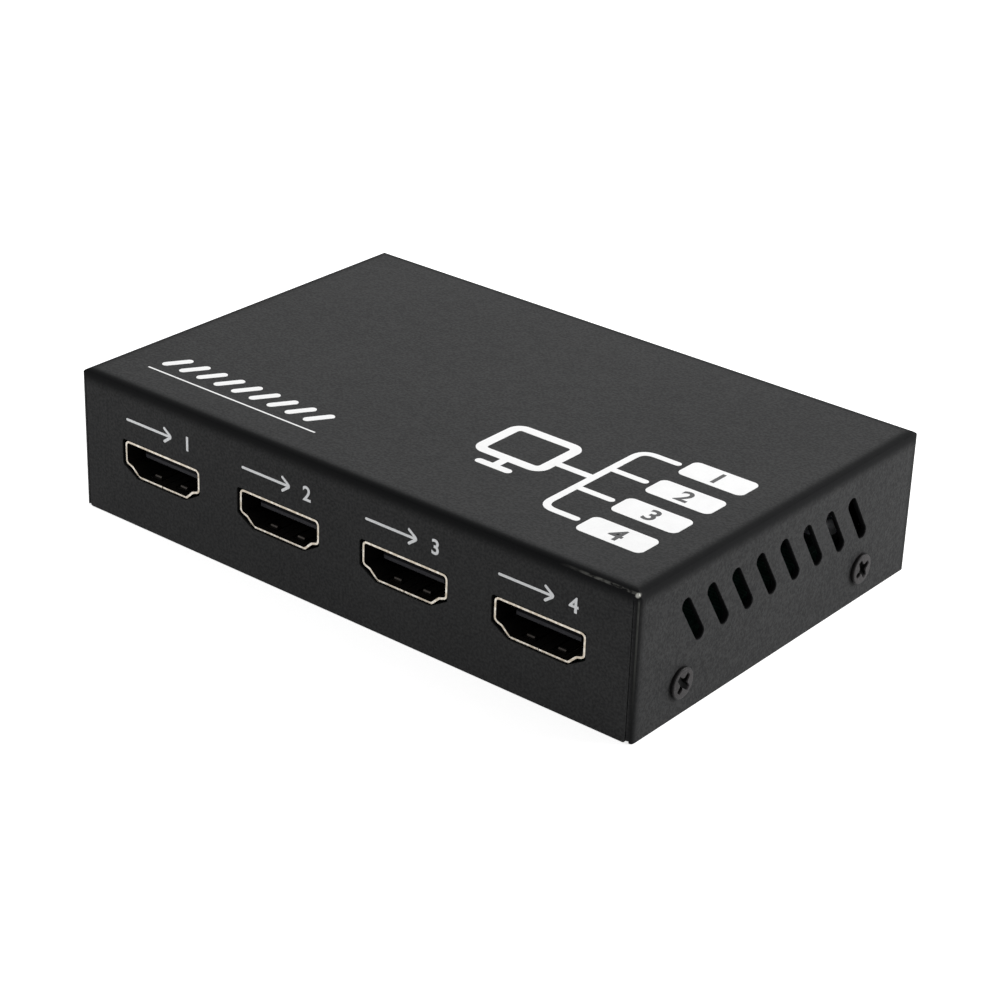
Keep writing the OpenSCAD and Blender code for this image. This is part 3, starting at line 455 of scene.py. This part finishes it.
# %% Circuit board, small ceramic parts, heat sink and lenses
def board_finish():
    """Each lattice is the distance to the nearest of its lines or points, taken from
    the remainder of the place over the pitch."""
    made = Finish("board_laminate", specular_ior_level=0.5)
    weave = (made.noise(0.4, 1, 0.5, made.stretched(1, 0.1, 1))
             + made.noise(0.4, 1, 0.5, made.stretched(0.1, 1, 1))) * 0.5
    blocks = made.node("ShaderNodeTexWhiteNoise", {"noise_dimensions": "3D"}, made.node(
        "ShaderNodeVectorMath", {"operation": "SNAP"}, made.mm, (7.6, 3.8, 4.0)))
    tracks_x = abs(made.y % 0.76 - 0.38).rise(0.17, 0.11) * blocks.rise(0.42, 0.44)
    tracks_y = abs(made.x % 0.95 - 0.475).rise(0.2, 0.13) * blocks.rise(0.4, 0.38)
    tracks = tracks_x.most(tracks_y)
    hole_x, hole_y = made.x % 3.8 - 1.9, made.y % 3.04 - 1.52
    out = (hole_x * hole_x + hole_y * hole_y).root()
    inside = abs(made.x).rise(39, 38)
    ring = out.rise(0.44, 0.4) * inside
    lacquer = made.mix(weave.rise(0.3, 0.7), (0.003, 0.009, 0.007), (0.005, 0.015, 0.011))
    colour = made.mix(tracks, lacquer, (0.011, 0.034, 0.024))
    colour = made.mix(ring, colour, (0.62, 0.60, 0.55))
    made.set(base_color=made.mix(out.rise(0.2, 0.16) * inside, colour, (0.01, 0.01, 0.01)),
             metallic=ring * 0.8, roughness=0.32 + (weave - 0.5) * 0.2 + ring * 0.05,
             normal=made.bump(tracks * 0.7 + ring * 0.9 + weave * 0.2, 0.03))
    return made.material


def ceramic_finish():
    """Brown in the middle and tinned beyond a set distance from the middle of the row."""
    made = Finish("ceramic")
    row_y = middle_of("chip_parts")[1]
    tinned = abs(made.y - row_y).rise(0.46, 0.52)
    fired = made.noise(0.2, 3, 0.6)
    body = made.mix(fired.rise(0.3, 0.7), (0.30, 0.21, 0.13), (0.42, 0.31, 0.20))
    made.set(base_color=made.mix(tinned, body, (0.62, 0.61, 0.59)), metallic=tinned,
             roughness=0.5 + (fired - 0.5) * 0.3 - tinned * 0.1,
             normal=made.bump(fired, 0.01))
    return made.material


def anodised_finish():
    """Lines of the mill, drawn out along the first axis, under a little dust."""
    made = Finish("black_anodising", metallic=0.6, specular_ior_level=0.5)
    milled = made.noise(0.16, 3, 0.6, made.stretched(0.06, 1, 1))
    dust = made.noise(1.4, 4, 0.7)
    made.set(base_color=made.mix(dust.rise(0.45, 0.8), (0.02, 0.02, 0.022), (0.06, 0.058, 0.056)),
             roughness=0.45 + (milled - 0.5) * 0.25 + dust * 0.1,
             normal=made.bump(milled, 0.01))
    return made.material


def lens_finish():
    """Two pale greens in slow swirls, with a fine frost."""
    made = Finish("clear_lens", transmission_weight=0.35, ior=1.5)
    swirl = made.noise(0.9, 2)
    made.set(base_color=made.mix(swirl.rise(0.3, 0.7), (0.72, 0.80, 0.74), (0.82, 0.88, 0.83)),
             roughness=0.2 + (swirl - 0.5) * 0.12, normal=made.bump(made.noise(0.3), 0.004))
    return made.material


dress(board_finish(), "circuit_board")
dress(ceramic_finish(), "chip_parts")
dress(anodised_finish(), "heat_sink")
dress(lens_finish(), "indicator_lenses")
print("board, ceramic, heat sink and lenses dressed")

# %% [markdown]
# New pieces are grids: rows of points along one parameter, columns along another, worked
# out as whole arrays. One helper joins the rows with faces, turns them outwards, and
# binds the piece to the body that it rides on.


# %% Grids into pieces
def grid_faces(rows, columns):
    """Corner numbers of the cells of a grid whose last column joins its first."""
    at = np.arange(rows * columns).reshape(rows, columns)
    beside = np.roll(at, -1, axis=1)
    return np.stack([at[:-1], beside[:-1], beside[1:], at[1:]], -1).reshape(-1, 4)


def piece(name, points, faces, finish, body="case", slot=None, smooth=30):
    """A mesh from points in millimetres. Double points become one, faces turn outwards,
    and edges sharper than smooth degrees stay crisp."""
    mesh = bpy.data.meshes.new(name)
    mesh.from_pydata(np.asarray(points) * MM, [], faces)
    made = bpy.data.objects.new(name, mesh)
    bpy.context.scene.collection.objects.link(made)
    tidy(mesh)
    mesh.set_sharp_from_angle(angle=math.radians(smooth))
    mesh.materials.append(finish)
    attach(made, body)
    print(f"{name}: {len(mesh.polygons)} faces")
    return made


def tidy(mesh):
    """Merges double points, drops the faces that this closes up, and turns the rest out."""
    work = bmesh.new()
    work.from_mesh(mesh)
    bmesh.ops.remove_doubles(work, verts=work.verts, dist=1e-7)
    bmesh.ops.dissolve_degenerate(work, edges=work.edges, dist=1e-8)
    bmesh.ops.recalc_face_normals(work, faces=work.faces)
    for face in work.faces:
        face.smooth = True
    work.to_mesh(mesh)
    work.free()


# %% [markdown]
# A cover screw is small, but it catches the eye on a plain wall. Its head is pressed, so
# the top is slightly crowned and the rim is round, and the cross recess has slanting
# walls that meet in a deep middle. A boolean cut would leave hard edges. Here the head is
# a disc of rings, and the recess is a depth worked out for each of its points. The rings
# go on under the head as the thread, where the radius follows a sawtooth that climbs as
# it goes round.

# %% Cover screws
screw_low, screw_high = low_high("cover_screws")
head_r, head_h = (screw_high[2] - screw_low[2]) / 2, screw_high[0] - half_l
thread_r, thread_cut, thread_pitch, thread_l = 1.25, 0.2, 0.45, 4.0
crown, edge_r = 0.09, 0.2
wing_l, wing_w, recess_h, pit_r = 1.55, 0.56, 0.8, 0.85
spokes, face_rings, thread_rings = 144, 56, 64
way_y, screw_z = (screw_low[1] + head_r, screw_high[1] - head_r), screw_low[2] + head_r


def recess_depth(across, up):
    """Depth of the cross recess at points of the head. The longer of the two distances
    runs along a wing and the shorter across it: the floor rises with the cube of the
    first, and the walls slant up over the second. A cone deepens the middle."""
    along, aside = np.maximum(abs(across), abs(up)), np.minimum(abs(across), abs(up))
    floor = recess_h * np.clip(1 - (along / wing_l) ** 3, 0, 1)
    wall = np.clip((wing_w - 0.12 * along - aside) / 0.12, 0, 1)
    pit = pit_r * np.clip(1 - np.hypot(along, aside) / pit_r, 0, 1)
    return np.maximum(floor * wall * wall * (3 - 2 * wall), pit)


def screw_points(turn):
    """Rings from the middle of the head over its rim, down the thread and to the tip.
    Each ring is a radius and a height, the recess lowers the head's rings, and the
    thread's rings swell and shrink with their height less their angle."""
    rim = np.linspace(0, math.pi / 2, 7)
    flat = np.linspace(0.0, head_r - edge_r, face_rings)
    radius = np.concatenate([flat, head_r - edge_r + edge_r * np.sin(rim),
                             [head_r, head_r - 0.06]])
    height = np.concatenate([head_h - crown * (flat / head_r) ** 2,
                             head_h - crown - edge_r * (1 - np.cos(rim)), [0.03, 0.0]])
    angle = np.arange(spokes) * 2 * math.pi / spokes
    ring_r = np.repeat(radius[:, None], spokes, 1)
    ring_z = np.repeat(height[:, None], spokes, 1)
    face_r = ring_r[:face_rings]
    ring_z[:face_rings] -= recess_depth(face_r * np.cos(angle), face_r * np.sin(angle))
    down = np.linspace(0, -thread_l, thread_rings)[:, None]
    phase = (down / thread_pitch + angle / (2 * math.pi)) % 1
    taper = np.clip(-down - thread_l + 0.4, 0, 1) * 0.9
    thread = thread_r - thread_cut * abs(2 * phase - 1) - taper
    tip = np.zeros((1, spokes))
    ring_r = np.concatenate([ring_r, thread, tip])
    ring_z = np.concatenate([ring_z, np.repeat(down, spokes, 1), tip - thread_l])
    angle = angle + math.radians(turn)
    return np.stack([ring_r * np.cos(angle), ring_r * np.sin(angle), ring_z], -1)


def cover_screws():
    """The four screws, each turned as it was left by the driver, heads outwards: a
    screw's height becomes the distance out of its end wall."""
    rows = []
    turns = {(1, 0): 45, (1, 1): 28, (-1, 0): 12, (-1, 1): 63}
    for (side, which), turn in turns.items():
        local = screw_points(turn)
        rows.append(np.stack([side * (half_l + local[..., 2]), way_y[which] + local[..., 0],
                              screw_z + local[..., 1]], -1))
    count = rows[0].shape[0]
    faces = grid_faces(count, spokes)
    return (np.concatenate(rows).reshape(-1, 3),
            np.concatenate([faces + i * count * spokes for i in range(len(rows))]))


def screw_finish():
    """Black oxide, worn paler in patches on the face, with painted shade round the rim of the
    head and down in the recess.
    """
    made = Finish("black_screw", metallic=0.1, specular_ior_level=0.08)
    plate = made.noise(0.25, 3, 0.6)
    middle, half_pitch = (way_y[0] + way_y[1]) / 2, (way_y[1] - way_y[0]) / 2
    out_y = abs(made.y - middle) - half_pitch
    out_z = made.z - screw_z
    out = (out_y * out_y + out_z * out_z).root()
    in_recess = out.rise(1.75, 1.6)
    # Painted shade: down marks the depths of the cross recess and side the rim of the head; both
    # take the near-black colour below.
    down = (half_l + head_h - 0.11 - abs(made.x)).rise(0.0, 0.14) * in_recess
    side = out.rise(head_r - 0.2, head_r - 0.06)
    skin = made.mix(plate.rise(0.3, 0.7), (0.025, 0.0235, 0.024), (0.044, 0.041, 0.042))
    skin = made.mix(plate.rise(0.52, 0.7) * 0.35, skin, (0.085, 0.080, 0.080))
    made.set(base_color=made.mix(down.most(side * 0.85), skin, (0.004, 0.004, 0.004)),
             roughness=0.42 + (plate - 0.5) * 0.3, normal=made.bump(plate, 0.008))
    return made.material


screws = piece("cover_screw_set", *cover_screws(), screw_finish(), slot="black_screw")
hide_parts("cover_screws")

# %% [markdown]
# Ink is printed on the coat after it is baked. It is a film of a few hundredths of a
# millimetre, flat on top, with edges that are crisp but not razor sharp. Each output gets
# an arrow and its number, and the top gets a plain diagram of what the box does: one line
# in, four lines out. A stroke is a flat bar carried along a path, and its half width
# falls to nothing round both ends, so one formula draws lines, arrows and rails. Where
# strokes cross, two faces at one height would flicker, so each lies a hair above the last.

# %% Strokes of ink
film, sunk, hair = 0.03, 0.05, 0.002
cap = 1 - np.cos(np.linspace(0, math.pi / 2, 8))


def bent(corners, radius, steps=10):
    """Points of a path through corners, each inner one rounded by an arc of that radius.
    The arc leaves each side at radius times the tangent of half the turn, and is drawn
    as the curve that blends the two sides with the squares of its share."""
    corners = np.asarray(corners, float)
    points = [corners[:1]]
    for before, at, after in zip(corners[:-2], corners[1:-1], corners[2:]):
        come = (at - before) / np.linalg.norm(at - before)
        leave = (after - at) / np.linalg.norm(after - at)
        back = radius * math.tan(math.acos(np.clip(come @ leave, -1, 1)) / 2)
        t = np.linspace(0, 1, steps)[:, None]
        points.append((at - come * back) * (1 - t) ** 2 + at * 2 * t * (1 - t)
                      + (at + leave * back) * t ** 2)
    return np.concatenate([*points, corners[-1:]])


def stroke(path, half_width):
    """A closed bar along a path in the plane. It is measured along the path, and near
    both ends its half width is that of a half circle over the distance from the end."""
    gone = np.concatenate([[0], np.cumsum(np.linalg.norm(np.diff(path, axis=0), axis=1))])
    total, ends = gone[-1], cap * half_width
    inner = gone[(gone > half_width) & (gone < total - half_width)]
    at = np.concatenate([ends, inner, total - ends[::-1]])
    path = np.column_stack([np.interp(at, gone, path[:, i]) for i in (0, 1)])
    step = np.gradient(path, at, axis=0)
    step /= np.linalg.norm(step, axis=1, keepdims=True)
    short = np.clip(1 - np.minimum(at, total - at) / half_width, 0, 1)
    half = half_width * np.sqrt(1 - short ** 2)
    return bar(path, np.column_stack([-step[:, 1], step[:, 0]]) * half[:, None], False)


def ring(path, half_width):
    """A closed bar along a path that comes back to where it began, with no ends."""
    step = np.roll(path, -1, 0) - np.roll(path, 1, 0)
    step /= np.linalg.norm(step, axis=1, keepdims=True)
    return bar(path, np.column_stack([-step[:, 1], step[:, 0]]) * half_width, True)


def bar(path, aside, closed):
    """Four points at each point of a path, two to each side, below the coat and on top."""
    left, right = path + aside, path - aside
    levels = [(left, -sunk), (left, film), (right, film), (right, -sunk)]
    points = np.stack([np.column_stack([p, np.full(len(p), z)]) for p, z in levels], 1)
    rows = len(path) + closed
    faces = grid_faces(rows, 4) % (4 * len(path))
    return points.reshape(-1, 3), faces


def box_path(centre, half, radius, count=9):
    """Points once round a rectangle, each corner a quarter circle of that radius."""
    quarter = np.linspace(0, math.pi / 2, count)
    turn = np.concatenate([quarter + i * math.pi / 2 for i in range(4)])
    corner = np.repeat([(1, 1), (-1, 1), (-1, -1), (1, -1)], count, axis=0)
    inner = (np.array(half) - radius) * corner
    return np.array(centre) + inner + radius * np.column_stack([np.cos(turn), np.sin(turn)])


def plate(centre, half, radius):
    """A filled rectangle with rounded corners: its outline drawn in to its middle line."""
    path = box_path(centre, half, radius)
    reach = half[0] - half[1]
    inner_x = np.clip(path[:, 0], centre[0] - reach, centre[0] + reach)
    inner = np.column_stack([inner_x, np.full(len(path), centre[1])])
    return bar((path + inner) / 2, (path - inner) / 2, True)


def joined(shapes):
    """Several pairs of points and faces as one pair, each a hair higher than the last."""
    starts = np.cumsum([0] + [len(points) for points, _ in shapes[:-1]])
    return (np.concatenate([points + [0, 0, hair * i] for i, (points, _) in enumerate(shapes)]),
            np.concatenate([faces + start for (_, faces), start in zip(shapes, starts)]))


print("a straight stroke has", len(stroke(np.array([(0, 0), (1, 0)]), 0.2)[1]), "faces")

# %% [markdown]
# The ink itself is a dull enamel. It takes on some of the grain of the coat below it, as
# fine specks, and it is thinner in slow patches where the screen was pressed less. White
# lies on the top, a greyer white on the walls, and black on the plates of the diagram.


# %% Ink
def ink(name, colour, worn):
    """Two near tones of one colour, shared out by fine specks and slow patches."""
    made = Finish(name, specular_ior_level=0.3)
    speck = made.noise(0.16, 3, 0.7)
    patch = made.noise(2.4, 3, 0.6)
    shade = (speck * 0.6 + patch * 0.5).rise(0.3, 0.75)
    made.set(base_color=made.mix(shade, worn, colour), roughness=0.5 + (speck - 0.5) * 0.2,
             normal=made.bump(speck, 0.006))
    return made.material


white_ink = ink("white_ink", (0.93, 0.93, 0.93), (0.86, 0.86, 0.86))
grey_ink = ink("grey_ink", (0.86, 0.87, 0.88), (0.76, 0.77, 0.79))
black_ink = ink("black_ink", (0.020, 0.020, 0.021), (0.035, 0.035, 0.036))

# %% [markdown]
# The diagram is thirty-five millimetres wide, with its largest shape on the left. One
# big screen feeds a rail, and the rail feeds four plates, numbered like the sockets.

# %% Diagram on the top
rows_y = [0.4, -6.9, -14.2, -21.5]
middle_y = float(np.mean(rows_y))
screen_x, screen_y = 13.6, middle_y + 1.2
rail_x, plate_x, plate_half = 25.4, 37.6, (5.2, 2.35)
branch_x, foot_y = 31.6, screen_y - 7.4
heavy, light = 0.62, 0.55
rail = [(branch_x, rows_y[0]), (rail_x, rows_y[0]), (rail_x, rows_y[3]), (branch_x, rows_y[3])]
diagram = [
    ring(box_path((screen_x, screen_y), (5.2, 4.4), 1.3), 0.8),
    stroke(np.array([(screen_x - 3.0, foot_y), (screen_x + 3.0, foot_y)]), heavy),
    stroke(np.array([(screen_x, foot_y), (screen_x, screen_y - 4.6)]), heavy),
    stroke(np.array([(screen_x + 5.4, middle_y), (rail_x + 0.2, middle_y)]), heavy),
    stroke(bent(rail, 2.2), light)]
diagram += [stroke(np.array([(rail_x, y), (branch_x, y)]), light) for y in rows_y[1:3]]
diagram += [plate((plate_x, y), plate_half, 1.0) for y in rows_y]


def laid_on_top(points, lift=0.0):
    """Plane points on the top of the cover, raised by lift above the coat."""
    return points + [0, 0, top_z + lift]


points, faces = joined(diagram)
piece("print_splitter_diagram", laid_on_top(points), faces, white_ink)

# %% [markdown]
# Near the first outputs the top carries a long, light ornament: a row of slanting bars
# over a thin rule. All of them are one stroke, repeated along a row.

# %% Bars on the top
rule_y, bar_low, bar_high = -25.3, -23.4, -19.6
bars = [stroke(np.array([(-42.4, rule_y), (-10.4, rule_y)]), 0.14)]
bars += [stroke(np.array([(x, bar_low), (x + 2.4, bar_high)]), heavy)
         for x in np.arange(-41.6, -13, 3.4)]
points, faces = joined(bars)
piece("print_slanting_bars", laid_on_top(points), faces, white_ink)

# %% [markdown]
# Numbers are text, and text is a curve, so it becomes a mesh before it is moved to its
# place. A small offset thickens the strokes as a screen print does. The arrow before
# each number is two strokes, one of them bent at the tip.


# %% Numbers and arrows
size_share = 1.38
label_z = 16.2


def number_points(text, height, bold):
    """Points and faces of a number of that height in the plane, its middle at the
    origin. The font's size is the height of a digit times a fixed share."""
    curve = bpy.data.curves.new("number", "FONT")
    curve.body, curve.size, curve.offset = text, height * size_share, bold
    curve.extrude, curve.resolution_u = (film + sunk) / 2, 6
    drawn = bpy.data.objects.new("number", curve)
    bpy.context.scene.collection.objects.link(drawn)
    mesh = bpy.data.meshes.new_from_object(drawn)
    points = np.empty(len(mesh.vertices) * 3)
    mesh.vertices.foreach_get("co", points)
    points = points.reshape(-1, 3)
    faces = [tuple(p.vertices) for p in mesh.polygons]
    bpy.data.objects.remove(drawn)
    bpy.data.meshes.remove(mesh)
    points[:, :2] -= (points[:, :2].max(0) + points[:, :2].min(0)) / 2
    points[:, 2] += (film - sunk) / 2
    return points, faces


def stood_on_front(points, x, z):
    """Plane points on the front wall: their depth becomes the distance out of the wall."""
    return np.column_stack([points[:, 0] + x, -half_d - points[:, 2], points[:, 1] + z])


for i, (x, y) in enumerate(zip(output_x, rows_y), 1):
    points, faces = number_points(str(i), 2.2, 0.055)
    piece(f"print_number_{i}", stood_on_front(points, x + 5.4, label_z), faces, grey_ink)
    shaft = stroke(np.array([(-6.6, 0), (2.1, 0)]), 0.19)
    barb = stroke(bent([(0.8, 1.1), (2.3, 0), (0.8, -1.1)], 0.3), 0.2)
    points, faces = joined([shaft, barb])
    piece(f"print_arrow_{i}", stood_on_front(points, x, label_z), faces, grey_ink)
    points, faces = number_points(str(i), 3.1, 0.09)
    points = laid_on_top(points + [plate_x, y, 0], film)
    piece(f"print_plate_number_{i}", points, faces, black_ink)

# %% [markdown]
# The back wall has its own small signs, in the same ink: a power mark and the numbers of
# the outputs over the indicators, an arrow into the input, a zero and a one over the ends
# of the switch's travel, and a ring with a dot for the pin of the power jack. Seen from
# behind, left and right change places, so the plane is turned round before it is stood up.


# %% Signs on the back
def stood_on_back(points, x, z):
    """Plane points on the back wall, read from behind."""
    return np.column_stack([x - points[:, 0], half_d + points[:, 2], points[:, 1] + z])


def arc(radius, start, end, count=33):
    """Points of a part of a circle, from one angle to the other in degrees."""
    turn = np.radians(np.linspace(start, end, count))
    return radius * np.column_stack([np.cos(turn), np.sin(turn)])


lens_low, lens_high = low_high("indicator_lenses")
lens_r = (lens_high[2] - lens_low[2]) / 2
lens_x = np.linspace(lens_high[0] - lens_r, lens_low[0] + lens_r, 5)
input_x, jack_x = middle_of("input_shell")[0], middle_of("power_jack_pin")[0]
knob_low, knob_high = low_high("switch_knob")
travel = frame["record"]["behaviour"]["joints"][0]["range_m"][1] / MM
switch_x, switch_z = (knob_low[0] + knob_high[0] + travel) / 2, knob_high[2] + 3.4
thin, beside, lens_z = 0.15, 2.6, lens_high[2] + 2.6
signs = {
    "power": ([stroke(arc(0.95, 128, 412), thin), stroke(np.array([(0, 0.3), (0, 1.3)]), thin)],
              lens_x[0], lens_z),
    "input": ([stroke(np.array([(0, 2.1), (0, -1.5)]), 0.19),
               stroke(bent([(-1.1, -0.2), (0, -1.7), (1.1, -0.2)], 0.3), 0.2)],
              input_x, label_z),
    "pin": ([ring(arc(1.3, 0, 348, 30), thin), stroke(np.array([(-0.44, 0), (0.44, 0)]), 0.42)],
            jack_x, 5.2)}
for name, (shapes, x, z) in signs.items():
    points, faces = joined(shapes)
    piece(f"print_{name}_sign", stood_on_back(points, x, z), faces, grey_ink)
back_numbers = [(str(i), lens_x[i], lens_z) for i in (1, 2, 3, 4)]
back_numbers += [("0", switch_x - beside, switch_z), ("1", switch_x + beside, switch_z)]
for i, (text, x, z) in enumerate(back_numbers, 1):
    points, faces = number_points(text, 1.8, 0.045)
    piece(f"print_back_number_{i}", stood_on_back(points, x, z), faces, grey_ink)
print("the knob travels from x", np.round(knob_low[0], 1),
      "to", np.round(knob_high[0] + travel, 1))

# %% [markdown]
# The picture was cut out on white, so floor and background are white here too. The floor
# is a plain sheet that takes the shadow of the box. What the camera, gloss and glass see
# of it is topped up, which carries the lit floor to white and leaves the shadow soft under
# the walls. The sky is white for the same rays, and dimmer as a lamp. The sheet lies a
# tenth of a millimetre under the box, because two faces in one plane would flicker, and
# it is clear from below, so that the underside can be looked at.


# %% Floor and sky
floor_glow, sky_as_lamp, sky_as_seen = 0.76, 0.38, 1.0


def floor_finish():
    """Paper in two near greys. The glow is a share times the greatest of the three ray
    kinds, and a face seen from below is clear."""
    made = Finish("floor_paper", roughness=0.9, specular_ior_level=0.1)
    tooth = made.noise(3.0, 2)
    made.set(base_color=made.mix(tooth, (0.65, 0.65, 0.65), (0.67, 0.67, 0.67)))
    rays = ("Is Camera Ray", "Is Glossy Ray", "Is Transmission Ray")
    camera_ray, glossy, through = (made.node("ShaderNodeLightPath", out=ray) for ray in rays)
    seen = camera_ray.most(glossy).most(through)
    made.set(emission_color=(1.0, 1.0, 1.0), emission_strength=seen * floor_glow)
    underneath = made.node("ShaderNodeNewGeometry", out="Backfacing")
    paper = Wire(made, made.shader.outputs["BSDF"])
    sheet = made.node("ShaderNodeMixShader", {}, underneath, paper,
                      made.node("ShaderNodeBsdfTransparent"))
    made.give(made.tree.nodes["Material Output"].inputs["Surface"], sheet)
    return made.material


reach, floor_z = 4.0, -0.1 * MM
corners = np.array([(-1, -1), (1, -1), (1, 1), (-1, 1)]) * reach
floor_mesh = bpy.data.meshes.new("floor")
floor_mesh.from_pydata(np.column_stack([corners, np.full(4, floor_z)]), [], [(0, 1, 2, 3)])
floor_mesh.materials.append(floor_finish())
floor = bpy.data.objects.new("floor", floor_mesh)
bpy.context.scene.collection.objects.link(floor)

world = bpy.data.worlds.new("sky")
bpy.context.scene.world = world
world.use_nodes = True
sky = world.node_tree
back = sky.nodes["Background"]
back.inputs["Color"].default_value = (1, 1, 1, 1)
paths = sky.nodes.new("ShaderNodeLightPath")
shown = paths.outputs["Is Camera Ray"]
for kind in ("Is Glossy Ray", "Is Transmission Ray"):
    either = sky.nodes.new("ShaderNodeMath")
    either.operation = "MAXIMUM"
    sky.links.new(shown, either.inputs[0])
    sky.links.new(paths.outputs[kind], either.inputs[1])
    shown = either.outputs[0]
level = sky.nodes.new("ShaderNodeMapRange")
sky.links.new(shown, level.inputs["Value"])
level.inputs["To Min"].default_value = sky_as_lamp
level.inputs["To Max"].default_value = sky_as_seen
sky.links.new(level.outputs["Result"], back.inputs["Strength"])
print("floor and sky are white")

# %% [markdown]
# Three soft lamps light the box. The photographer's main light came from behind and
# above, on the side of the vents, which leaves the row of sockets the darkest face. The
# second hangs over the back and evens the top, and the third only opens the front. All
# stand near, so their light falls off along each face, as it does in the picture.


# %% Lamps
def lamp(name, place, size, power):
    """A square lamp at place, turned to the middle of the box."""
    light = bpy.data.lights.new(name, "AREA")
    light.size, light.energy = size, power
    made = bpy.data.objects.new(name, light)
    made.location = place
    made.visible_camera = False
    towards = Vector((0, 0, 0.01)) - Vector(place)
    made.rotation_euler = towards.to_track_quat("-Z", "Y").to_euler()
    bpy.context.scene.collection.objects.link(made)


lamp("lamp_main", (0.34, 0.34, 0.20), 0.3, 2.95)
lamp("lamp_top", (-0.16, 0.26, 0.30), 0.3, 0.56)
lamp("lamp_front", (-0.20, -0.17, 0.11), 0.2, 0.24)

# %% [markdown]
# The last cell sets the colour view to Standard. The ink stands a few hundredths of a
# millimetre proud of the coat, and nothing else goes past the imported model.

# %% The end
bpy.context.scene.view_settings.view_transform = "Standard"
